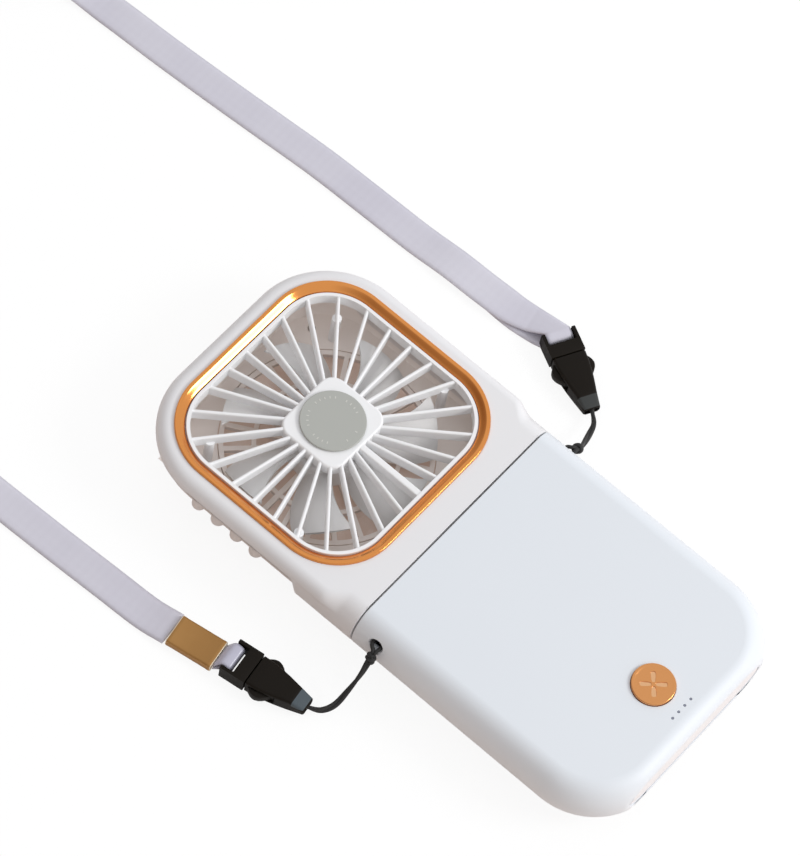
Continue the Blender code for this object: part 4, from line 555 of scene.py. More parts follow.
OVERRUN = 0.002
EDGE_ROUND = 0.00022
BUCKLE_SHINE = 0.12
MERGE_DISTANCE = 0.000003
COAT_ROUGHNESS = 0.12


def rounded(half_x, half_y, corner, steps=8, centre=(0.0, 0.0)):
    """A rectangle with round corners, as a ring of (x, y) points."""
    ring = []
    for quarter, (side_x, side_y) in enumerate(((1, 1), (-1, 1), (-1, -1), (1, -1))):
        for step in range(steps + 1):
            x, y = polar(corner, QUARTER * (quarter + step / steps))
            ring.append((centre[0] + side_x * (half_x - corner) + x,
                         centre[1] + side_y * (half_y - corner) + y))
    return ring


def box_mesh(name, low, high):
    shape = bmesh.new()
    bmesh.ops.create_cube(shape, size=1.0)
    low, high = Vector(low), Vector(high)
    bmesh.ops.scale(shape, vec=high - low, verts=shape.verts)
    bmesh.ops.translate(shape, vec=(low + high) / 2, verts=shape.verts)
    return mesh_of(shape, name)


def after_modifiers(holder):
    """A holder's mesh as its modifiers leave it; the holder goes."""
    bpy.context.view_layer.update()
    depsgraph = bpy.context.evaluated_depsgraph_get()
    mesh = bpy.data.meshes.new_from_object(holder.evaluated_get(depsgraph))
    bpy.data.objects.remove(holder)
    return mesh


def flat_plate(name, outline, low, high, holes=()):
    """A flat outline with holes, extruded from low to high."""
    drawing = bpy.data.curves.new(name, "CURVE")
    drawing.dimensions = "2D"
    drawing.fill_mode = "BOTH"
    drawing.extrude = (high - low) / 2
    for loop in (outline, *holes):
        spline = drawing.splines.new("POLY")
        spline.points.add(len(loop) - 1)
        for point, (x, y) in zip(spline.points, loop):
            point.co = (x, y, 0.0, 1.0)
        spline.use_cyclic_u = True
    mesh = after_modifiers(linked(name + "_drawing", drawing))
    mesh.transform(Matrix.Translation((0.0, 0.0, (low + high) / 2)))
    bpy.data.curves.remove(drawing)
    shape = bmesh.new()
    shape.from_mesh(mesh)
    bmesh.ops.remove_doubles(shape, verts=shape.verts, dist=MERGE_DISTANCE)
    bmesh.ops.recalc_face_normals(shape, faces=shape.faces[:])
    return mesh_of(shape, name)


def smoothed(mesh, sharp):
    """Shade a mesh smooth up to an angle in degrees."""
    mesh.shade_smooth()
    mesh.set_sharp_from_angle(angle=math.radians(sharp))
    return mesh


def carved(name, mesh, cuts=(), joins=(), edge=0.0, sharp=35, solver="EXACT"):
    """A mesh after its Boolean steps, with its edges rounded and its sharp edges marked."""
    body = linked(name + "_blank", mesh)
    spare = []
    for operation, tools in (("DIFFERENCE", cuts), ("UNION", joins)):
        for tool in tools:
            spare.append(linked(name + "_tool", tool))
            step = body.modifiers.new(operation, "BOOLEAN")
            step.operation, step.object, step.solver = operation, spare[-1], solver
    if edge:
        soften = body.modifiers.new("edge", "BEVEL")
        soften.width, soften.segments = edge, 2
        soften.limit_method = "ANGLE"
        soften.angle_limit = math.radians(sharp)
        soften.use_clamp_overlap = False
    made = after_modifiers(body)
    made.name = name
    for one in spare:
        bpy.data.objects.remove(one)
    made.materials.clear()
    return smoothed(made, sharp)


def grain_group():
    """Fine moulding grain with faint handling marks: a colour, a roughness and a height."""
    group, ins, outs = group_of(
        "moulded_grain",
        [("Colour", "Color"), ("Tint", "Color"), ("Tint Share", "Float"), ("Grain", "Float"),
         ("Cloud", "Float"), ("Roughness", "Float"), ("Roughness Range", "Float")],
        [("Colour", "Color"), ("Roughness", "Float"), ("Height", "Float")])
    place = new_node(group, "TexCoord", {}).outputs["Object"]
    cloud, grain = [new_node(group, "TexNoise", {"Detail": detail, "Vector": place,
                                                 "Scale": ins[scale]}).outputs["Fac"]
                    for detail, scale in ((4.0, "Cloud"), (2.0, "Grain"))]
    share = reckoned(group, "MULTIPLY", cloud, ins["Tint Share"], True)
    swing = product(group, reckoned(group, "SUBTRACT", cloud, 0.5), ins["Roughness Range"])
    feed(group, outs, {"Colour": mixed(group, share, ins["Colour"], ins["Tint"]),
                       "Roughness": reckoned(group, "ADD", ins["Roughness"], swing, True),
                       "Height": grain})
    return group


moulded_grain = grain_group()


def moulded(name, colour, tint, tint_share, roughness, grain_height=0.000004, metallic=0.0,
            coat=0.0, grain=3500.0, cloud=35.0, roughness_range=0.1):
    """A finish on the grain group: plastic, rubber, plating or metal."""
    look, tree, texture = finish(
        name, moulded_grain,
        {"Colour": (*colour, 1.0), "Tint": (*tint, 1.0), "Tint Share": tint_share, "Grain": grain,
         "Cloud": cloud, "Roughness": roughness, "Roughness Range": roughness_range},
        {"Metallic": metallic, "Coat Weight": coat, "Coat Roughness": COAT_ROUGHNESS},
        grain_height)
    feed(tree, tree.nodes["Principled BSDF"], {"Base Color": texture["Colour"],
                                               "Roughness": texture["Roughness"]})
    return look


def place_sockets(tree):
    """The place on a piece, in its own metres, as x, y and z sockets."""
    return split_up(tree, new_node(tree, "TexCoord", {}).outputs["Object"])


def dotted(tree, sockets, axis, start=0.0):
    """A start value plus the sum of three sockets times an axis."""
    for socket, share in zip(sockets, axis):
        start = reckoned(tree, "ADD", product(tree, socket, share), start)
    return start


def between_limits(tree, value, low, high):
    """One where a value lies between two limits, else zero."""
    return product(tree, reckoned(tree, "GREATER_THAN", value, low),
                   reckoned(tree, "LESS_THAN", value, high))


def patched(look, share, colour, socket="Base Color"):
    """Lay another colour over a finish where a share says so."""
    tree = look.node_tree
    shader = tree.nodes["Principled BSDF"]
    links = shader.inputs[socket].links
    under = links[0].from_socket if links else (0.0, 0.0, 0.0, 1.0)
    feed(tree, shader, {socket: mixed(tree, share, under, colour)})


buckle_pieces = {}
socket_length = BUCKLE_LENGTH * SOCKET_SHARE
plug_start = socket_length + CLEARANCE
collar_end = plug_start + BUCKLE_LENGTH * COLLAR_SHARE
release_start, release_end = [socket_length * share for share in RELEASE_SHARES]
low, high = buckle_mid - CAVITY_HALF_HEIGHT, buckle_mid + CAVITY_HALF_HEIGHT
half, inner_half = BUCKLE_WIDTH / 2, BUCKLE_WIDTH / 2 - EAR_WIDTH
for words in ("left", "right"):
    carrier = buckle_frame(words)
    look = moulded("buckle_black_" + words, (0.0085, 0.0062, 0.0040), (0.014, 0.011, 0.008), 0.35,
                   0.5, 0.000006)
    tree = look.node_tree
    tree.nodes["Principled BSDF"].inputs["Specular IOR Level"].default_value = BUCKLE_SHINE
    heading = carrier.to_3x3() @ Vector((1.0, 0.0, 0.0))
    run = dotted(tree, place_sockets(tree), heading, -carrier.translation.dot(heading))
    # The flat top of the tip's facet is painted lighter than the black: a painted reflection.
    on_top = between_limits(tree, place_sockets(tree)["Z"], FACET_LOW_Z, BUCKLE_THICKNESS)
    on_tip = between_limits(tree, run, *FACET_RUN)
    patched(look, product(tree, on_tip, on_top), PAINTED_FACET_REFLECTIONS[words])
    rings = []
    for along_share, width_share, height_share in SOCKET_WIDTH_SHARES:
        outline = rounded(half * width_share, buckle_mid * height_share, SOCKET_EDGE, 5)
        rings.append([(socket_length * along_share, y, buckle_mid + z) for y, z in outline])
    socket = carved(words + "_socket", loft("socket", rings), [
        box_mesh("cavity", (release_start, -CAVITY_HALF, low),
                 (socket_length + OVERRUN, CAVITY_HALF, high)),
        box_mesh("release", (release_start, -BUCKLE_WIDTH, low),
                 (release_end, BUCKLE_WIDTH, high)),
        box_mesh("mouth", (-OVERRUN, -CORD_MOUTH_HALF, buckle_mid - CORD_MOUTH_HALF_HEIGHT),
                 (CORD_MOUTH_DEPTH, CORD_MOUTH_HALF, buckle_mid + CORD_MOUTH_HALF_HEIGHT))],
        edge=EDGE_ROUND)
    collar = [(plug_start, -half), (BUCKLE_LENGTH, -half), (BUCKLE_LENGTH, -inner_half),
              (collar_end, -inner_half)]
    collar += [(x, -y) for x, y in collar[::-1]]
    root = plug_start + EAR_WIDTH
    nose, shoulder = release_start + CLEARANCE, release_end - CLEARANCE
    bar_half = inner_half + EAR_WIDTH / 2
    joins = [box_mesh("bar", (bar_start, -bar_half, buckle_mid - BAR_HALF_HEIGHT),
                      (BUCKLE_LENGTH - CLEARANCE, bar_half, buckle_mid + BAR_HALF_HEIGHT))]
    for side in (-1, 1):
        prong = [(root, PRONG_OUT)]
        for share in steps_between(0.0, 1.0, 8):
            swell = math.sqrt(max(0.0, 1 - (2 * share - PRONG_PEAK) ** 2)) * (1 - share ** 3)
            prong.append((between(shoulder, nose, share),
                          PRONG_OUT + (PRONG_BULGE - PRONG_OUT) * swell))
        prong += [(x, PRONG_OUT - PRONG_THICKNESS) for x in (nose, root)]
        joins.append(flat_plate("prong", [(x, side * y) for x, y in prong], low + CLEARANCE,
                                high - CLEARANCE))
    plug = carved(words + "_plug", flat_plate("collar", collar, 0.0, BUCKLE_THICKNESS),
                  joins=joins, edge=EDGE_ROUND)
    buckle_pieces[words] = []
    for part, mesh in (("_socket", socket), ("_plug", plug)):
        mesh.transform(carrier)
        buckle_pieces[words].append(show(words + part, mesh, look, "battery_body",
                                         (words + "_buckle" + part,)))

# Crimp
# Thin copper-coloured sheet metal, folded flat round the ribbon's left end and the short loop's
# ends and pressed together. Its own two ends are rolled, and a pale painted highlight lies along
# them.
CRIMP_HALF_WIDTH = 0.0044
CRIMP_THICKNESS = 0.0030
CRIMP_EDGE = 0.0007
PAINTED_END_HIGHLIGHT_SHARE = 0.485
CRIMP_SWELLS = ((0.0, 0.86), (0.03, 1.0), (0.08, 1.0), (0.10, 0.93), (0.90, 0.93), (0.92, 1.0),
                (0.97, 1.0), (1.0, 0.86))
crimp_look = moulded("crimp_copper", (0.38, 0.19, 0.052), (0.46, 0.25, 0.085), 0.6, 0.5, 0.00001,
                     0.5, cloud=180.0, roughness_range=0.3)
tree = crimp_look.node_tree
crimp_length = (CRIMP_FAR - CRIMP_NEAR).length
run = dotted(tree, place_sockets(tree), crimp_along, -(CRIMP_NEAR + TO_MIDDLE).dot(crimp_along))
from_middle = reckoned(tree, "ABSOLUTE", reckoned(tree, "SUBTRACT", run, crimp_length / 2), 0.0)
# The two rolled ends are patched pale cream: a painted highlight.
patched(crimp_look, reckoned(tree, "GREATER_THAN", from_middle, crimp_length * PAINTED_END_HIGHLIGHT_SHARE),
        (0.86, 0.74, 0.56, 1.0))
crimp_across = Vector((-crimp_along.y, crimp_along.x, 0.0))
rings = []
for share, swell in CRIMP_SWELLS:
    centre = between(CRIMP_NEAR, CRIMP_FAR, share) + TO_MIDDLE + UP * CRIMP_THICKNESS / 2
    outline = rounded(CRIMP_HALF_WIDTH, CRIMP_THICKNESS / 2 * swell, CRIMP_EDGE, 4)
    rings.append([centre + crimp_across * y + UP * z for y, z in outline])
crimp = show("crimp", carved("crimp", loft("crimp", rings), sharp=50), crimp_look, "battery_body",
             ("strap_crimp",))

# Tie
# A black elastic band, slipped round the two layers of ribbon at the coil. Its own stretch holds
# it there.
TIE_HALF_WIDTH = 0.0035
TIE_CORNER = 0.0008
TIE_PROFILE = ((0.0, -1.0), (0.7, -1.0), (1.0, -0.86), (1.0, 0.86), (0.7, 1.0), (0.0, 1.0))
tie_gap = RIBBON_THICKNESS / 2 + CLEARANCE * 4
tie_low = (-coil_inner - COIL_PITCH / 2 - tie_gap, coil_z - RIBBON_WIDTH / 2 - CLEARANCE / 3)
tie_high = (-coil_inner + tie_gap, coil_z + RIBBON_WIDTH / 2 + CLEARANCE)
tie_middle = [(a + b) / 2 for a, b in zip(tie_low, tie_high)]
tie_half = [(b - a) / 2 for a, b in zip(tie_low, tie_high)]
tie_look = moulded("tie_elastic", (0.018, 0.018, 0.018), (0.05, 0.05, 0.05), 0.5, 0.75, 0.00006,
                   grain=1800.0)
rings = []
for share, y in TIE_PROFILE:
    grow = TIE_THICKNESS * share
    outline = rounded(tie_half[0] + grow, tie_half[1] + grow, TIE_CORNER + grow, 4, tie_middle)
    rings.append([COIL_CENTRE + TO_MIDDLE + Vector((x, y * TIE_HALF_WIDTH, max(z, 0.0)))
                  for x, z in outline])
tie = show("ribbon_tie", carved("ribbon_tie", loft("ribbon_tie", rings, True), sharp=50), tie_look,
           "battery_body", ("strap_tie",))

# Body housing
# Two matt white moulded shells, full-round at the sides, that meet at a parting line and are
# screwed together from behind. A beige cover over the sockets is pressed into their flat end.
WALL = 0.0016
THICKNESS = 0.0160
FOOT_HEIGHT = 0.0033
BODY_HALF = 0.0395
BODY_LENGTH = 0.0821
BODY_CORNER = 0.0209
BODY_END_RUN_ON = 0.0020
SIDE_ROUND_ACROSS = 0.0065
SEAM_HALF_GAP = 0.0002
REAR_Z = FOOT_HEIGHT + CLEARANCE
FRONT_Z = REAR_Z + THICKNESS
MID_Z = (REAR_Z + FRONT_Z) / 2
HALF_THICKNESS = THICKNESS / 2
PARTING_RISE = 0.0034
PARTING_Z = REAR_Z + PARTING_RISE
ROOF_INSIDE_Z = FRONT_Z - WALL
BODY_PLAN_LENGTH = BODY_LENGTH + BODY_END_RUN_ON
END_FLAT_SHARE = 2 / math.pi * math.asin((BODY_CORNER - BODY_END_RUN_ON) / BODY_CORNER)
ARC_SHARES = (steps_between(0.0, END_FLAT_SHARE, 24)
              + steps_between(END_FLAT_SHARE, 1.0, 4)[1:])
BUTTON_RADIUS = 0.0060
BUTTON_FROM_SEAM = 0.0666
LAMP_RADIUS = 0.00028
LAMP_HOLE_RADIUS = LAMP_RADIUS * 1.15
LAMP_SPACING = 0.00245
LAMP_FROM_SEAM = 0.0760
LAMP_PLACES = [((index - 1.5) * LAMP_SPACING, -LAMP_FROM_SEAM) for index in range(4)]
COVER_INSET = 0.0014
COVER_SINK = 0.0002
EYE_HALF_HEIGHT = 0.0015
EYE_BACK = 0.0022
SHELL_EDGE = 0.00025
BODY_SCREWS = [(side * x, -y) for x, y in ((0.0295, 0.0130), (0.0260, 0.0640)) for side in (-1, 1)]
RECESS_RADIUS = 0.0019
RECESS_DEPTH = 0.0010


def pill(angle, wall=0.0):
    """Inset and height of the full-round side, or of its inside, at an angle from half height."""
    inset = wall + (SIDE_ROUND_ACROSS - wall) * (1 - math.cos(angle))
    return inset, MID_Z + (HALF_THICKNESS - wall) * math.sin(angle)


def pill_angle(z, wall=0.0):
    return math.asin((z - MID_Z) / (HALF_THICKNESS - wall))


def plan(half_width, length, corner, stations, arc_shares, direction):
    """Plan points from the seam's middle round one side, each with the way its inset moves it."""
    side = [(0.0, stations[0], 0.0, 0.0)] + [(half_width, y, 1.0, 0.0) for y in stations]
    for share in arc_shares:
        side_x, side_y = polar(1.0, QUARTER * share)
        side.append((half_width - corner + corner * side_x, length - corner + corner * side_y,
                     side_x, side_y))
    side.append((0.0, length, 0.0, 1.0))
    other = [(-x, y, -in_x, in_y) for x, y, in_x, in_y in side[1:-1]]
    return [(x, direction * y, in_x, direction * in_y) for x, y, in_x, in_y in side + other[::-1]]


def body_ring(angle, wall=0.0):
    stations = [SEAM_HALF_GAP + wall] + [BODY_PLAN_LENGTH * i / 10 for i in range(1, 7)]
    inset, z = pill(angle, wall)
    points = plan(BODY_HALF, BODY_PLAN_LENGTH, BODY_CORNER, stations, ARC_SHARES, -1)
    return [(x - inset * in_x, max(y - inset * in_y, wall - BODY_LENGTH), z)
            for x, y, in_x, in_y in points]


def body_half(name, rim, direction, steps):
    """The outside of one shell, and the hollow inside it."""
    face = direction * QUARTER
    outside, inside = [[body_ring(angle, wall)
                        for angle in steps_between(pill_angle(rim, wall), face, steps)]
                       for wall in (0.0, WALL)]
    mouth = [(x, y, z - direction * OVERRUN) for x, y, z in inside[0]]
    return loft(name, outside), loft(name + "_hollow", [mouth] + inside)


def rod(name, radius, low, high, place=(0.0, 0.0), sides=32):
    """A cylinder on Z over a place in plan."""
    shape = bmesh.new()
    bmesh.ops.create_cone(shape, cap_ends=True, segments=sides, radius1=radius, radius2=radius,
                          depth=high - low)
    bmesh.ops.translate(shape, vec=(*place, (low + high) / 2), verts=shape.verts)
    return mesh_of(shape, name)


def roof_hole(radius, place, sides):
    return rod("roof_hole", radius, ROOF_INSIDE_Z - OVERRUN, FRONT_Z + OVERRUN, place, sides)


def recess(place):
    return rod("recess", RECESS_RADIUS, REAR_Z - OVERRUN, REAR_Z + RECESS_DEPTH, place)


def end_plate(name, inset, near, far):
    """A plate with the flat end's outline, moved inwards."""
    top_angle = math.acos(1 - BODY_END_RUN_ON / SIDE_ROUND_ACROSS)
    top = HALF_THICKNESS * math.sin(top_angle)
    right = []
    for share in steps_between(-1.0, 1.0, 24):
        side_inset, z = pill(top_angle * share)
        spread = math.sqrt(max(0.0, (BODY_CORNER - side_inset) ** 2
                               - (BODY_CORNER - BODY_END_RUN_ON) ** 2))
        right.append((BODY_HALF - BODY_CORNER + spread - inset,
                      MID_Z + (z - MID_Z) * (top - inset) / top))
    outline = right + [(-x, z) for x, z in right[::-1]]
    return loft(name, [[(x, y, z) for x, z in outline] for y in (near, far)])


def circle(radius, sides):
    return [polar(radius, TURN * i / sides) for i in range(sides)]


def seat(name, mesh, look, body, stands_for, place=(0.0, 0.0, 0.0), weigh=True):
    """Show a mesh drawn from the seam; weighing shades flat faces flat beside rounded edges."""
    mesh.transform(Matrix.Translation(TO_MIDDLE + Vector(place)))
    made = show(name, mesh, look, body, stands_for)
    if weigh:
        made.modifiers.new("normals", "WEIGHTED_NORMAL").keep_sharp = True


shell_white = moulded("shell_white", (0.79, 0.83, 0.875), (0.75, 0.79, 0.84), 0.4, 0.46, 0.000006)
front_outside, front_hollow = body_half("body_front", PARTING_Z + CLEARANCE, 1, 18)
rear_outside, rear_hollow = body_half("body_rear", PARTING_Z, -1, 10)
window = end_plate("end_window", COVER_INSET, -BODY_LENGTH - OVERRUN,
                   -BODY_LENGTH + WALL + OVERRUN)
eye_half = cord_turn + CORD_DIAMETER / 2 + CLEARANCE
eye_inner = EYE_PIN_X - EYE_PIN_RADIUS - EYE_BACK
front_cuts = [front_hollow, window.copy(),
              roof_hole(BUTTON_RADIUS - CLEARANCE / 4, (0.0, -BUTTON_FROM_SEAM), 72)]
front_cuts += [roof_hole(LAMP_HOLE_RADIUS, place, 24) for place in LAMP_PLACES]
for side in (-1, 1):
    slot_x = sorted((side * eye_inner, side * (BODY_HALF + OVERRUN)))
    front_cuts.append(loft("eye_slot", [[(x, eye_half * y - EYE_FROM_SEAM,
                                          EYE_Z + EYE_HALF_HEIGHT * z)
                                         for y, z in circle(1.0, 36)] for x in slot_x]))
rear_cuts = [rear_hollow, window] + [recess(place) for place in BODY_SCREWS]
for words, outside, cuts in (("front", front_outside, front_cuts),
                             ("rear", rear_outside, rear_cuts)):
    seat("body_" + words, carved("body_" + words, outside, cuts, edge=SHELL_EDGE), shell_white,
         "battery_body", ("body_" + words + "_shell",))
cover_beige = moulded("cover_beige", (0.85, 0.85, 0.87), (0.81, 0.80, 0.81), 0.5, 0.6, 0.00001)
cover = end_plate("port_cover", COVER_INSET + CLEARANCE, -BODY_LENGTH + COVER_SINK,
                  -BODY_LENGTH + WALL - CLEARANCE)
seat("end_cover", carved("port_cover", cover, edge=SHELL_EDGE), cover_beige, "battery_body",
     ("port_cover",))

# Power button and lamps
# A copper-plated cap with four petals pressed in, whose flange holds it under the roof while it
# slides in its hole. The four small lamp dots are the pins of one clear moulding.
BUTTON_PROUD = 0.0008
BUTTON_EDGE = 0.0006
BUTTON_DISH = 0.0002
DISH_SHARES = ((1.0, 0.0), (1.4, 0.5), (1.8, 1.0))
BUTTON_FLANGE = 0.0010
BUTTON_FLANGE_HEIGHT = 0.0008
STEM_RADIUS = 0.0014
PETAL_DEPTH = 0.0003
PETAL_LENGTH = 0.0030
PETAL_WIDTH = 0.0014
PETAL_START = 0.0006
PETAL_TURN = math.radians(41)
PETAL_SHARES = ((0.0, -0.20), (0.12, -0.34), (0.35, -0.42), (0.60, -0.46), (0.84, -0.46),
                (0.96, -0.34), (1.0, 0.0), (0.96, 0.34), (0.84, 0.46), (0.60, 0.46), (0.35, 0.42),
                (0.12, 0.34), (0.0, 0.20))


def quarter_round(radius, steps):
    """Pairs that pass along a quarter circle from (0, radius) to (radius, 0)."""
    return [(radius * (1 - math.cos(angle)), radius * (1 - math.sin(angle)))
            for angle in steps_between(0.0, QUARTER, steps)]


def spun(name, profile, sides, closed=False):
    """Turn a profile of (radius, z) about Z; an open one gets flat ends on the axis."""
    return loft(name, [[(x, y, z) for x, y in circle(radius, sides)] for radius, z in profile],
                closed)


def joined(name, meshes):
    """Several meshes as one."""
    shape = bmesh.new()
    for mesh in meshes:
        shape.from_mesh(mesh)
    return mesh_of(shape, name)


plating = moulded("copper_plating", (0.80, 0.365, 0.137), (0.76, 0.33, 0.115), 0.5, 0.20, 0.000002,
                  1.0, cloud=60.0, roughness_range=0.08)
button_top = FRONT_Z + BUTTON_PROUD
dish_z = button_top - BUTTON_DISH
flange_top = ROOF_INSIDE_Z - CLEARANCE
cap_radius = BUTTON_RADIUS - CLEARANCE / 2
flange_radius = BUTTON_RADIUS + BUTTON_FLANGE
cap_profile = [(STEM_RADIUS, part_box("switch_plunger")[1].z + CLEARANCE),
               (STEM_RADIUS, flange_top - BUTTON_FLANGE_HEIGHT),
               (flange_radius, flange_top - BUTTON_FLANGE_HEIGHT),
               (flange_radius, flange_top), (cap_radius, flange_top)]
cap_profile += [(cap_radius - inwards, button_top - down)
                for inwards, down in quarter_round(BUTTON_EDGE / 2, 6)]
cap_profile += [(cap_radius - BUTTON_EDGE * edges, button_top - BUTTON_DISH * depth)
                for edges, depth in DISH_SHARES]
petals = []
for index in range(4):
    petal_turn = Matrix.Rotation(QUARTER * index + PETAL_TURN, 2)
    outline = [petal_turn @ Vector((PETAL_START + PETAL_LENGTH * along_share,
                                    PETAL_WIDTH * across_share))
               for along_share, across_share in PETAL_SHARES]
    petals.append(flat_plate("petal", outline, dish_z - PETAL_DEPTH, button_top + OVERRUN))
tree = plating.node_tree
patched(plating, between_limits(tree, place_sockets(tree)["Z"], dish_z - PETAL_DEPTH * 1.2,
                                dish_z - PETAL_DEPTH / 3), (0.88, 0.50, 0.26, 1.0))
cap = carved("button_cap", spun("button_cap", cap_profile, 96), petals, edge=BUTTON_EDGE / 10,
             sharp=30)
seat("button_cap", cap, plating, "button", ("power_button",),
     (0.0, -BUTTON_FROM_SEAM, 0.0))

pipe_low, pipe_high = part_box("led_light_pipe")
pipe_parts = [box_mesh("bar", pipe_low, (pipe_high.x, pipe_high.y, flange_top))]
pipe_parts += [rod("pin", LAMP_RADIUS, pipe_low.z, FRONT_Z - LAMP_RADIUS / 4,
                   (x, MIDDLE_FROM_SEAM + y), 24) for x, y in LAMP_PLACES]
lamp_grey = moulded("lamp_grey", (0.20, 0.21, 0.28), (0.28, 0.30, 0.38), 0.5, 0.25, 0.0, 0.0, 0.5)
show("light_pipe", joined("light_pipe", pipe_parts), lamp_grey, "battery_body",
     ("led_light_pipe",))

# Head housing
# Two white moulded shells, screwed together from behind. Behind the seam their side changes from
# the full-round chin to a thin lip over an inset bowl, which has four ridges on each side.
HEAD_HALF = 0.0400
HEAD_LENGTH = 0.0800
HEAD_CORNER = 0.02375
HEAD_EDGE_ROUND = 0.0033
FLOOR_INSIDE_Z = REAR_Z + WALL
LIP_DROP = 0.0040
LIP_Z = FRONT_Z - LIP_DROP
FAN_Y = 0.04153
CHIN_LENGTH = 0.0190
CHIN_STEP = 0.0015
SOFT_EDGE_START = 0.0053
SOFT_EDGE_END = 0.0115
SOFT_FRONT_START_SHARE = 0.28
BOWL_SHARES = ((0.0, 1.0), (0.02, 0.86), (0.04, 0.72), (0.10, 0.63), (0.17, 0.55), (0.24, 0.465),
               (0.32, 0.38), (0.42, 0.275), (0.53, 0.17), (0.70, 0.07), (0.86, 0.015), (1.0, 0.0))
BOWL_TOP_INSET = 0.0011
BOWL_REAR_INSET = 0.0066
LOW_STEPS, WALL_STEPS, ROUND_STEPS = 6, 4, 14
RING_SIZE = (0.03527, 0.03379, 0.01847)
RING_SEAT = 0.00005
PAINTED_LIGHT_HALF = 0.0345
PAINTED_LIGHT_LOW_Z = 0.0048
PAINTED_LIGHT_COLOUR = (0.085, 0.064, 0.050, 1.0)
RIDGE_RADIUS = 0.0020
RIDGE_STEP = 0.0065
RIDGE_LENGTH = 0.0048
RIDGE_SHIFT = 0.0017
RIDGE_ROUND = 0.0013
RIDGE_PROUD = 0.0012
REAR_WINDOW_RADIUS = 0.0288
RIB_COUNT = 28
HEAD_SCREW_RIBS = (3, 11, 16, 26)
POST_FROM_CENTRE = 0.0320
rib_step = TURN / RIB_COUNT


def chin_levels(angles):
    """The (inset, z) of the chin's full-round side at angles from half height."""
    return [(inset + HEAD_HALF - BODY_HALF, z) for inset, z in map(pill, angles)]


def head_rings(profiles, step_start):
    """Rings whose inset and height pass from the chin's profiles to the last one along y."""
    step_end = step_start + CHIN_STEP
    stations = ([SEAM_HALF_GAP, SOFT_EDGE_START / 2]
                + steps_between(SOFT_EDGE_START, SOFT_EDGE_END, 9)
                + steps_between(SOFT_EDGE_END, step_start, 4)[1:-1]
                + steps_between(step_start, step_end, 8)
                + steps_between(step_end, HEAD_LENGTH - HEAD_CORNER, 8)[1:-1])
    points = plan(HEAD_HALF, HEAD_LENGTH, HEAD_CORNER, stations, steps_between(0.0, 1.0, 24), 1)
    rings = []
    for levels in zip(*profiles):
        ring = []
        for x, y, in_x, in_y in points:
            early = eased(y, SOFT_EDGE_START, SOFT_EDGE_END)
            late = eased(y, step_start, step_end)
            inset, z = [between(between(soft, tight, early), last, late)
                        for soft, tight, last in zip(*levels)]
            ring.append((x - inset * in_x, y - inset * in_y, z))
        rings.append(ring)
    return rings


def inner(profile, outwards):
    """A profile of (inset, z) moved one wall inwards; outwards is the z direction of its face."""
    moved_in = []
    for i, (inset, z) in enumerate(profile):
        run, rise = way_at([Vector(level) for level in profile], i).normalized() * WALL * outwards
        moved_in.append((inset + rise, z - run))
    moved_in[-1] = (moved_in[-1][0], profile[-1][1] - WALL * outwards)
    return moved_in


def shell(name, profiles, step_start, outwards, cuts, edge):
    """A hollow shell between rings of profiles and the same profiles one wall further in."""
    outside = head_rings(profiles, step_start)
    inside = head_rings([inner(profile, outwards) for profile in profiles], step_start)
    clear_z = REAR_Z if outwards > 0 else FRONT_Z
    hollow = loft(name + "_hollow", [[(x, y, clear_z) for x, y, z in inside[0]]] + inside)
    return carved(name, loft(name, outside), [hollow] + cuts, edge=edge, solver="MANIFOLD")


def round_fan(size, inset, steps):
    """A rounded rectangle round the fan's middle, moved inwards."""
    return rounded(*[length - inset for length in size], steps, (0.0, FAN_Y))


def in_square(tree, spot, middle_y, half):
    """One inside a square over the fan's length, else zero."""
    return product(tree, *[between_limits(tree, spot[axis], middle - half, middle + half)
                           for axis, middle in (("X", 0.0), ("Y", middle_y))])


front_parting = pill_angle(PARTING_Z + CLEARANCE)
soft_start = QUARTER * SOFT_FRONT_START_SHARE
edge_low = FRONT_Z - HEAD_EDGE_ROUND
chin_low = chin_levels(steps_between(front_parting, 0.0, LOW_STEPS))
chin_soft = chin_low + chin_levels(steps_between(0.0, soft_start, WALL_STEPS)[1:-1]
                                   + steps_between(soft_start, QUARTER, ROUND_STEPS))
edge_levels = [(inwards, FRONT_Z - down)
               for inwards, down in quarter_round(HEAD_EDGE_ROUND, ROUND_STEPS)]
chin_tight = chin_low + [(chin_low[-1][0], z)
                         for z in steps_between(MID_Z, edge_low, WALL_STEPS)[1:-1]] + edge_levels
lip = [(0.0, z) for z in steps_between(LIP_Z, edge_low, LOW_STEPS + WALL_STEPS)[:-1]] + edge_levels
chin_rear = chin_levels(steps_between(front_parting, -QUARTER, len(BOWL_SHARES) - 1))
bowl = [(between(BOWL_TOP_INSET, BOWL_REAR_INSET, inset_share),
         between(REAR_Z, LIP_Z - CLEARANCE, height_share))
        for inset_share, height_share in BOWL_SHARES]
ring_window = flat_plate("ring_window", round_fan(RING_SIZE, RING_SEAT, 24), LIP_Z - OVERRUN,
                         FRONT_Z + OVERRUN)
head_white = moulded("head_white", (0.83, 0.83, 0.845), (0.79, 0.785, 0.80), 0.4, 0.46, 0.000006)
seat("head_front", shell("head_front", (chin_soft, chin_tight, lip), CHIN_LENGTH, 1.0,
                         [ring_window], SHELL_EDGE),
     head_white, "fan_head", ("head_front_shell",))

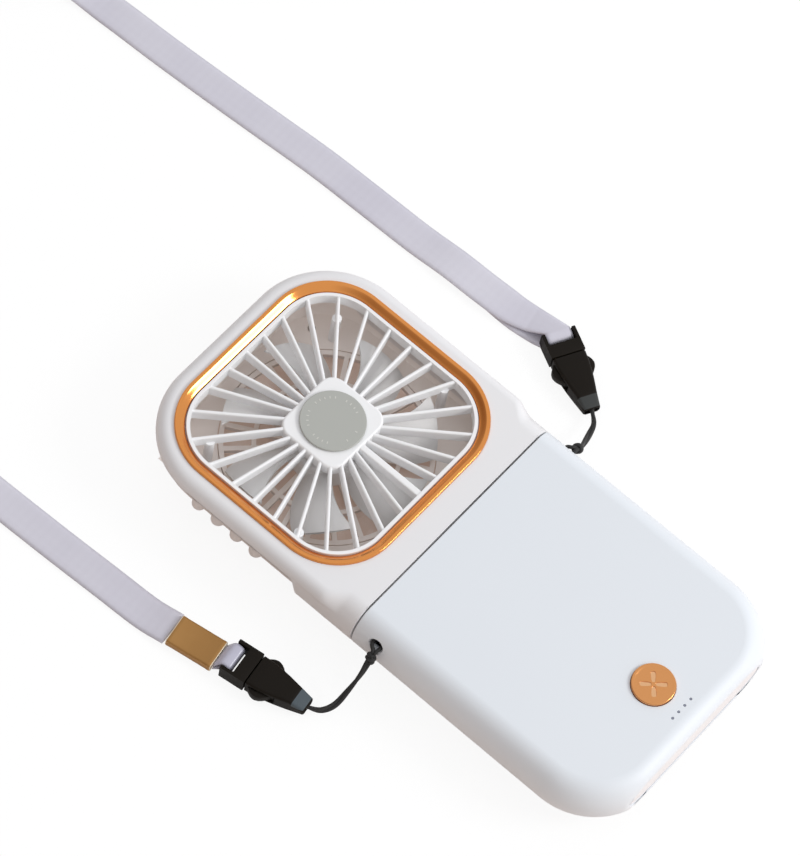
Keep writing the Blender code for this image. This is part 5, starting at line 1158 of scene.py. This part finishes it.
rear_step_start = CHIN_LENGTH + CLEARANCE * 4 / 3
ridge_x = HEAD_HALF - BOWL_TOP_INSET + RIDGE_PROUD - RIDGE_RADIUS
ridge_top = LIP_Z - CLEARANCE * 2
ridge_low = ridge_top - RIDGE_LENGTH
ridge_profile = [(RIDGE_RADIUS - inwards, ridge_low + up)
                 for up, inwards in quarter_round(RIDGE_ROUND, 6)]
ridge_profile += [(r, ridge_top + ridge_low - z) for r, z in ridge_profile[::-1]]
ridges = []
for side in (-1, 1):
    for step in (-1.5, -0.5, 0.5, 1.5):
        ridges.append(spun("ridge", ridge_profile, 28))
        ridges[-1].transform(Matrix.Translation(
            (side * ridge_x, FAN_Y + RIDGE_SHIFT + step * RIDGE_STEP, 0.0)))
head_screws = []
for rib in HEAD_SCREW_RIBS:
    x, y = polar(POST_FROM_CENTRE, rib * rib_step)
    head_screws.append((x, FAN_Y + y))
head_cuts = [box_mesh("rim_trim", (-HEAD_HALF * 2, -OVERRUN, PARTING_Z),
                      (HEAD_HALF * 2, rear_step_start, FRONT_Z)),
             rod("rear_window", REAR_WINDOW_RADIUS, REAR_Z - OVERRUN, FLOOR_INSIDE_Z + OVERRUN,
                 (0.0, FAN_Y), 120)] + [recess(place) for place in head_screws]
head_rear = shell("head_rear", (chin_rear, chin_rear, bowl), rear_step_start, -1.0, head_cuts, 0.0)
# The rear shell's white plastic is coloured a warm beige as painted shade, and inside the fan's
# square, above a low level, its faces emit a faint warm painted light.
bowl_painted_shade_and_light = moulded("bowl_painted_shade_and_light", (0.80, 0.76, 0.74), (0.75, 0.70, 0.68), 0.4, 0.5, 0.000008)
tree = bowl_painted_shade_and_light.node_tree
spot = place_sockets(tree)
inside = product(tree, in_square(tree, spot, FAN_Y, PAINTED_LIGHT_HALF),
                 reckoned(tree, "GREATER_THAN", spot["Z"], PAINTED_LIGHT_LOW_Z))
patched(bowl_painted_shade_and_light, inside, PAINTED_LIGHT_COLOUR, "Emission Color")
feed(tree, tree.nodes["Principled BSDF"], {"Emission Strength": 1.0})
seat("head_rear", smoothed(joined("head_rear", [head_rear] + ridges), 35), bowl_painted_shade_and_light, "fan_head",
     ("head_rear_shell",))

# Copper ring
# A copper-plated plastic moulding, pressed into the front shell round the grille. Its crest
# stands proud of the face and its inner side slopes down to the grille.
RING_BAND = 0.0028
RING_PROUD = 0.0007
RING_PROFILE_SHARES = ((0.0, 0.0), (0.0, 0.78), (0.008, 0.87), (0.028, 0.94), (0.07, 0.98),
                       (0.15, 0.996), (0.25, 1.0), (0.33, 0.993), (0.38, 0.97), (0.43, 0.93),
                       (0.55, 0.815), (0.75, 0.62), (0.94, 0.435), (0.98, 0.41), (1.0, 0.37),
                       (1.0, 0.0))


def round_loops(size, levels, steps):
    """A ring of points round the fan's middle for each (inset, z)."""
    return [[(x, y, z) for x, y in round_fan(size, inset, steps)] for inset, z in levels]


ring_levels = [(RING_BAND * across, between(ROOF_INSIDE_Z, FRONT_Z + RING_PROUD, height))
               for across, height in RING_PROFILE_SHARES]
ring_plating = moulded("ring_plating", (0.83, 0.335, 0.095), (0.79, 0.30, 0.08), 0.5, 0.13,
                       0.000001, 1.0, cloud=60.0, roughness_range=0.06)
ring = smoothed(loft("copper_ring", round_loops(RING_SIZE, ring_levels, 28), True), 50)
seat("copper_ring", ring, ring_plating, "fan_head", ("copper_trim_ring",),
     weigh=False)

# Front grille
# One white moulding: round-topped fins from a square hub to a rim, over a flange under the front
# shell and four screw posts. One fin is twice as broad as the others.
FAN_PLACE = (0.0, FAN_Y, 0.0)
GRILLE_TOP_Z = FRONT_Z - CLEARANCE
GRILLE_LOW_Z = LIP_Z
RIB_WIDTH = 0.00095
WIRE_RIB = 21
WIRE_RIB_WIDTH = 0.0019
FIN_ROUND = 0.00045
FIN_DROP = 0.0002
RIM_INSET = 0.0042
RIM_ROUND = 0.0003
RIB_END_SINK = 0.0006
FLANGE_OUT = 0.0012
HUB_SIZE = (0.0111, 0.0101, 0.0042)
HUB_ROUND = 0.0007
POST_RADIUS = 0.0013
TINY = 1e-9


def reach(size, inset, angle):
    """How far a rounded rectangle, moved inwards, reaches from its centre at an angle."""
    half_x, half_y, corner = [length - inset for length in size]
    dx, dy = abs(math.cos(angle)), abs(math.sin(angle))
    if dx * half_y > 0 and half_x / max(dx, TINY) * dy <= half_y - corner:
        return half_x / dx
    if half_y / max(dy, TINY) * dx <= half_x - corner:
        return half_y / dy
    along = dx * (half_x - corner) + dy * (half_y - corner)
    across = (half_x - corner) ** 2 + (half_y - corner) ** 2 - corner ** 2
    return along + math.sqrt(along ** 2 - across)


def fin_section(half, low, high):
    """A fin's section as (across, z): straight sides and a round top."""
    right = [(half, low)] + [(half - inwards, high - down)
                             for inwards, down in quarter_round(min(half, FIN_ROUND), 6)]
    return right + [(-x, z) for x, z in right[::-1]]


grille_parts = []
for index in range(RIB_COUNT):
    angle = index * rib_step
    section = fin_section((WIRE_RIB_WIDTH if index == WIRE_RIB else RIB_WIDTH) / 2, GRILLE_LOW_Z,
                          GRILLE_TOP_Z - FIN_DROP)
    along = Vector((*polar(1.0, angle), 0.0))
    across = UP.cross(along)
    rings = []
    for distance in steps_between(reach(HUB_SIZE, 0.0, angle) - RIB_END_SINK * 2,
                                  reach(RING_SIZE, RIM_INSET, angle) + RIB_END_SINK, 6):
        centre = along * distance + Vector(FAN_PLACE)
        rings.append([centre + across * x + UP * z for x, z in section])
    grille_parts.append(loft("fin", rings))
rim_out = RING_BAND + CLEARANCE
rim_levels = [(rim_out, GRILLE_LOW_Z), (rim_out, GRILLE_TOP_Z - RIM_ROUND),
              (rim_out + RIM_ROUND / 3, GRILLE_TOP_Z), (RIM_INSET - RIM_ROUND / 3, GRILLE_TOP_Z),
              (RIM_INSET, GRILLE_TOP_Z - RIM_ROUND), (RIM_INSET, GRILLE_LOW_Z)]
flange_low, flange_high = GRILLE_LOW_Z + CLEARANCE, ROOF_INSIDE_Z - CLEARANCE
flange_levels = [(-FLANGE_OUT, flange_low), (-FLANGE_OUT, flange_high),
                 (rim_out + RIM_ROUND, flange_high), (rim_out + RIM_ROUND, flange_low)]
hub_levels = [(0.0, GRILLE_LOW_Z)] + [(inwards, GRILLE_TOP_Z - down)
                                      for inwards, down in quarter_round(HUB_ROUND, 6)]
grille_parts += [loft("rim", round_loops(RING_SIZE, rim_levels, 28), True),
                 loft("flange", round_loops(RING_SIZE, flange_levels, 28), True),
                 loft("hub", round_loops(HUB_SIZE, hub_levels, 16))]
grille_parts += [rod("post", POST_RADIUS, FLOOR_INSIDE_Z + CLEARANCE, GRILLE_LOW_Z + RIB_WIDTH,
                     place) for place in head_screws]
grille_white = moulded("grille_white", (0.93, 0.935, 0.945), (0.89, 0.89, 0.90), 0.4, 0.42,
                       0.000004)
seat("front_fins", smoothed(joined("front_fins", grille_parts), 40), grille_white, "fan_head",
     ("front_grille",))

# Badge
# A matt grey plastic disc, glued on the hub, with a ring of short plain marks moulded proud of
# its face.
BADGE_RADIUS = 0.0088
BADGE_THICKNESS = 0.0005
MARK_RADIUS = 0.0067
MARK_HALF = Vector((0.00016, 0.00034, 0.00004))
MARK_DEGREES = (-26, -14, -2, 10, 36, 48, 60, 72, 84, 110, 122, 134, 146, 172, 184, 196, 208, 254,
                284)
badge_low = GRILLE_TOP_Z + CLEARANCE
badge_top = badge_low + BADGE_THICKNESS
badge_profile = [(BADGE_RADIUS, badge_low)]
badge_profile += [(BADGE_RADIUS - inwards, badge_top - down)
                  for inwards, down in quarter_round(BADGE_THICKNESS / 2, 5)]
badge_grey = moulded("badge_grey", (0.43, 0.44, 0.41), (0.48, 0.49, 0.46), 0.5, 0.5, 0.00001)
seat("badge", smoothed(spun("badge", badge_profile, 96), 40), badge_grey, "fan_head",
     ("grille_badge",), FAN_PLACE)
marks = []
for degrees in MARK_DEGREES:
    marks.append(box_mesh("mark", -MARK_HALF, MARK_HALF))
    marks[-1].transform(Matrix.Rotation(math.radians(degrees), 4, "Z")
                        @ Matrix.Translation((MARK_RADIUS, 0.0, badge_top))
                        @ Matrix.Rotation(QUARTER, 4, "Z"))
mark_white = moulded("mark_white", (0.62, 0.62, 0.58), (0.58, 0.58, 0.54), 0.5, 0.5)
seat("badge_marks", joined("badge_marks", marks), mark_white, "fan_head", (),
     FAN_PLACE, weigh=False)

# Impeller and motor
# Seven thin swept blades of milky plastic, moulded in one with a cup that is pressed on the
# motor's shaft behind the fins.
BLADE_COUNT = 7
BLADE_TIP_RADIUS = 0.0284
BLADE_THICKNESS = 0.0010
IMPELLER_HUB_RADIUS = 0.0120
BLADE_MID_Z = 0.0106
BLADE_CHORDS = (0.0088, 0.0170)
BLADE_PITCHES = (math.radians(44), math.radians(25))
BLADE_SWEEP = math.radians(12)
BLADE_CAMBER_SHARE = 0.07
BLADE_ROOT_SINK = 0.0007
HUB_ROOF = 0.0018
HUB_CUP_RADIUS = 0.0098
SHAFT_BORE = 0.0013


def blade_ring(share, start):
    """A blade's section at a share of its length, bent round the shaft."""
    radius = between(IMPELLER_HUB_RADIUS - BLADE_ROOT_SINK, BLADE_TIP_RADIUS, share)
    chord, pitch = between(*BLADE_CHORDS, share), between(*BLADE_PITCHES, share)
    ring = []
    for face in (0.5, -0.5):
        for place in steps_between(-face, face, 16):
            up = (chord * BLADE_CAMBER_SHARE * (1 - 4 * place * place)
                  + BLADE_THICKNESS * face * (1 - abs(place)))
            along = chord * place * math.cos(pitch) - up * math.sin(pitch)
            z = BLADE_MID_Z + chord * place * math.sin(pitch) + up * math.cos(pitch)
            angle = start + BLADE_SWEEP * share * share + along / radius
            ring.append((*polar(radius, angle), z))
    return ring


cup_low, cup_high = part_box("motor_rotor")[0].z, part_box("motor_shaft")[1].z + CLEARANCE
hub_profile = [(SHAFT_BORE, cup_high)]
hub_profile += [(IMPELLER_HUB_RADIUS - inwards, cup_high - down)
                for down, inwards in quarter_round(HUB_ROOF, 8)]
hub_profile += [(IMPELLER_HUB_RADIUS, cup_low), (HUB_CUP_RADIUS, cup_low),
                (HUB_CUP_RADIUS, cup_high - HUB_ROOF), (SHAFT_BORE, cup_high - HUB_ROOF)]
shares = steps_between(0.0, 1.0, 14)
blades = [loft("blade", [blade_ring(share, TURN * index / BLADE_COUNT) for share in shares])
          for index in range(BLADE_COUNT)]
rotor = smoothed(joined("fan_blades", [spun("hub", hub_profile, 84, True)] + blades), 40)
blade_white = moulded("blade_white", (0.80, 0.79, 0.78), (0.74, 0.72, 0.71), 0.5, 0.32, 0.000002)
seat("fan_blades", rotor, blade_white, "fan_rotor", ("impeller",), FAN_PLACE,
     weigh=False)

# Rear grille
# A flat plastic disc with two rows of radial slots round the motor's seat, set in the round
# window of the rear shell.
REAR_SPOKE_COUNT = 24
REAR_SPOKE_WIDTH = 0.0013
REAR_RIM_WIDTH = 0.0016
REAR_SLOT_ROWS = ((0.0108, 0.0186), (0.0198, REAR_WINDOW_RADIUS - REAR_RIM_WIDTH))
slots = []
spoke_step = TURN / REAR_SPOKE_COUNT
for index in range(REAR_SPOKE_COUNT):
    for row in REAR_SLOT_ROWS:
        slot = []
        for radius, order in zip(row, (1, -1)):
            lean = math.asin(REAR_SPOKE_WIDTH / 2 / radius)
            turns = steps_between(index * spoke_step + lean, (index + 1) * spoke_step - lean, 5)
            slot += [polar(radius, angle) for angle in turns[::order]]
        slots.append(slot)
rear = flat_plate("rear_slots", circle(REAR_WINDOW_RADIUS - CLEARANCE, 96), REAR_Z, FLOOR_INSIDE_Z,
                  slots)
# The rear grille takes the rear shell's finish, with its warm painted shade and faint painted
# light.
seat("rear_slots", smoothed(rear, 35), bowl_painted_shade_and_light, "fan_head", ("rear_grille",),
     FAN_PLACE, weigh=False)

# Feet
# Soft grey rubber buttons, which keep the fan off the table. Their stems are pressed into the
# rear faces of body and head.
FOOT_RADIUS = 0.0025
FOOT_STEM_RADIUS = 0.0011
FOOT_EDGE = 0.0005
FOOT_PLACES = (("body", "battery_body", 0.0250, -0.0570), ("head", "fan_head", 0.0235, 0.0675))
rubber_grey = moulded("rubber_grey", (0.28, 0.28, 0.28), (0.34, 0.34, 0.33), 0.6, 0.82, 0.00002)
foot_profile = [(FOOT_RADIUS - inwards, up) for up, inwards in quarter_round(FOOT_EDGE, 5)]
foot_profile += [(FOOT_RADIUS, FOOT_HEIGHT), (FOOT_STEM_RADIUS, FOOT_HEIGHT),
                 (FOOT_STEM_RADIUS, FLOOR_INSIDE_Z)]
for owner, body, x, y in FOOT_PLACES:
    for side, words in ((-1, "left"), (1, "right")):
        seat(owner + "_pad_" + words, smoothed(spun("foot", foot_profile, 48), 40), rubber_grey,
             body, (owner + "_foot_" + words,), (side * x, y, 0.0), weigh=False)

# Metal and inner pieces
# Steel pins, screws and hinge leaves, the motor's winding, the cell in its sleeve and the green
# board: pieces of the CAD that keep their shape and take a finish.
SMALL_EDGE = 0.00006
steel = moulded("steel", (0.56, 0.56, 0.57), (0.46, 0.46, 0.48), 0.5, 0.30, 0.000002, 1.0,
                roughness_range=0.2)
finishes = {
    "motor_stator": moulded("winding", (0.55, 0.24, 0.10), (0.40, 0.15, 0.06), 0.6, 0.35, 0.00008,
                            0.8, grain=1500.0),
    "battery_cell": moulded("cell_silver", (0.45, 0.46, 0.48), (0.52, 0.53, 0.55), 0.5, 0.35,
                            0.00002, 0.3),
    "circuit_board": moulded("board_green", (0.03, 0.16, 0.07), (0.02, 0.10, 0.05), 0.6, 0.5,
                             0.00003),
    "switch_plunger": moulded("plunger_black", (0.02, 0.02, 0.02), (0.05, 0.05, 0.05), 0.4, 0.5),
}
for name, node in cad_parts.items():
    if node.hide_render:
        continue
    node.data.materials.clear()
    node.data.materials.append(finishes.get(name, steel))
    soften = node.modifiers.new("edge", "BEVEL")
    soften.width, soften.segments, soften.angle_limit = SMALL_EDGE, 2, math.radians(35)
    soften.use_clamp_overlap = True

# Floor and light
# A white table that keeps the fan's soft shadow, with a painted warm shade and a faint painted
# warm light where the head covers it closely; to diffuse rays it is warm all over. One
# window lights it from the upper right, and the room is cool on that side and warm on the other.
FLOOR_SIZE = 3.0
FLOOR_LOW = 0.0002
COVER_REACH = 0.02
COVERED_BELOW = 0.65
COVER_SOFTNESS = 0.20
UNDER_HEAD_HALF = 0.031
SEE_THROUGH = 0.87
TABLE_WHITES = ((0.95, 0.95, 0.95, 1.0), (0.98, 0.98, 0.98, 1.0))
TABLE_GLOW = (0.15, 0.15, 0.15, 1.0)
WARM_BOUNCE_AND_PAINTED_SHADE = (0.62, 0.48, 0.40, 1.0)
PAINTED_WARM_LIGHT = (0.10, 0.073, 0.060, 1.0)
WARM_SIDE = (0.25, 0.175, 0.125, 1.0)
COOL_SIDE = (0.81, 0.82, 0.84, 1.0)
PLAIN_WHITE = (1.0, 1.0, 1.0, 1.0)
BRIGHT_WAY = (0.66, -0.36, 0.66)
BRIGHT_SHIFT, BRIGHT_RANGE = 0.35, 0.65
WINDOW_WAY = Vector((0.40, -0.71, 0.58)).normalized()
WINDOW_DISTANCE = 1.2
WINDOW_SIZE = (0.44, 0.30)
WINDOW_RADIANCE = 14.0
WINDOW_COLOUR = (1.0, 0.99, 0.98)


def any_ray(tree, *kinds):
    """One for a ray of any of the kinds named, else zero."""
    rays = new_node(tree, "LightPath", {}).outputs
    share = rays[kinds[0]]
    for kind in kinds[1:]:
        share = reckoned(tree, "MAXIMUM", share, rays[kind])
    return share


table_look = bpy.data.materials.new("white_table")
table_look.use_nodes = True
tree = table_look.node_tree
# Ambient occlusion finds where the head covers the table closely. There the table is opaque to the
# camera, painted a warm shade and given a faint warm painted light.
cover = new_node(tree, "AmbientOcclusion", {"Distance": COVER_REACH})
cover.samples = 4
under_head_painted_shade = reckoned(tree, "DIVIDE", reckoned(tree, "SUBTRACT", COVERED_BELOW, cover.outputs["AO"]),
                   COVER_SOFTNESS, True)
under_head_painted_shade = product(tree, under_head_painted_shade, in_square(tree, place_sockets(tree), FAN_Y + MIDDLE_FROM_SEAM,
                                           UNDER_HEAD_HALF))
straight = any_ray(tree, "Is Camera Ray", "Is Glossy Ray", "Is Transmission Ray")
white_share = product(tree, straight, reckoned(tree, "SUBTRACT", 1.0, under_head_painted_shade))
cloud = new_node(tree, "TexNoise", {"Scale": 60.0}).outputs["Fac"]
shader = feed(tree, tree.nodes["Principled BSDF"], {
    "Base Color": mixed(tree, white_share, WARM_BOUNCE_AND_PAINTED_SHADE, mixed(tree, cloud, *TABLE_WHITES)),
    "Emission Color": mixed(tree, under_head_painted_shade, TABLE_GLOW, PAINTED_WARM_LIGHT), "Emission Strength": 1.0,
    "Roughness": 0.8})
shown = reckoned(tree, "SUBTRACT", SEE_THROUGH, product(tree, under_head_painted_shade, SEE_THROUGH), True)
seen = product(tree, any_ray(tree, "Is Camera Ray"), shown)
behind = new_node(tree, "NewGeometry", {}).outputs["Backfacing"]
sheer = new_node(tree, "MixShader", {
    0: reckoned(tree, "MAXIMUM", seen, behind), 1: shader.outputs[0],
    2: new_node(tree, "BsdfTransparent", {}).outputs[0]})
feed(tree, tree.nodes["Material Output"], {"Surface": sheer.outputs[0]})
edge = FLOOR_SIZE / 2
floor = bpy.data.meshes.new("floor")
corners = ((-edge, -edge), (edge, -edge), (edge, edge), (-edge, edge))
floor.from_pydata([(x, y, -FLOOR_LOW) for x, y in corners], [], [(0, 1, 2, 3)])
floor.materials.append(table_look)
linked("floor", floor)

world = bpy.data.worlds.new("studio")
scene.world = world
world.use_nodes = True
tree = world.node_tree
way = split_up(tree, new_node(tree, "TexCoord", {}).outputs["Generated"])
bright_share = reckoned(tree, "DIVIDE", reckoned(tree, "ADD", dotted(tree, way, BRIGHT_WAY),
                                                 BRIGHT_SHIFT), BRIGHT_RANGE, True)
around = mixed(tree, bright_share, WARM_SIDE, COOL_SIDE)
straight = any_ray(tree, "Is Camera Ray", "Is Transmission Ray")
feed(tree, tree.nodes["Background"], {"Color": mixed(tree, straight, around, PLAIN_WHITE),
                                      "Strength": 1.0})

light = bpy.data.lights.new("window_light", "AREA")
light.shape = "RECTANGLE"
light.size, light.size_y = WINDOW_SIZE
light.energy = WINDOW_RADIANCE * math.pi * WINDOW_SIZE[0] * WINDOW_SIZE[1]
light.color = WINDOW_COLOUR
linked("window_light", light).matrix_world = (
    Matrix.Translation(WINDOW_WAY * WINDOW_DISTANCE)
    @ WINDOW_WAY.to_track_quat("Z", "Y").to_matrix().to_4x4())
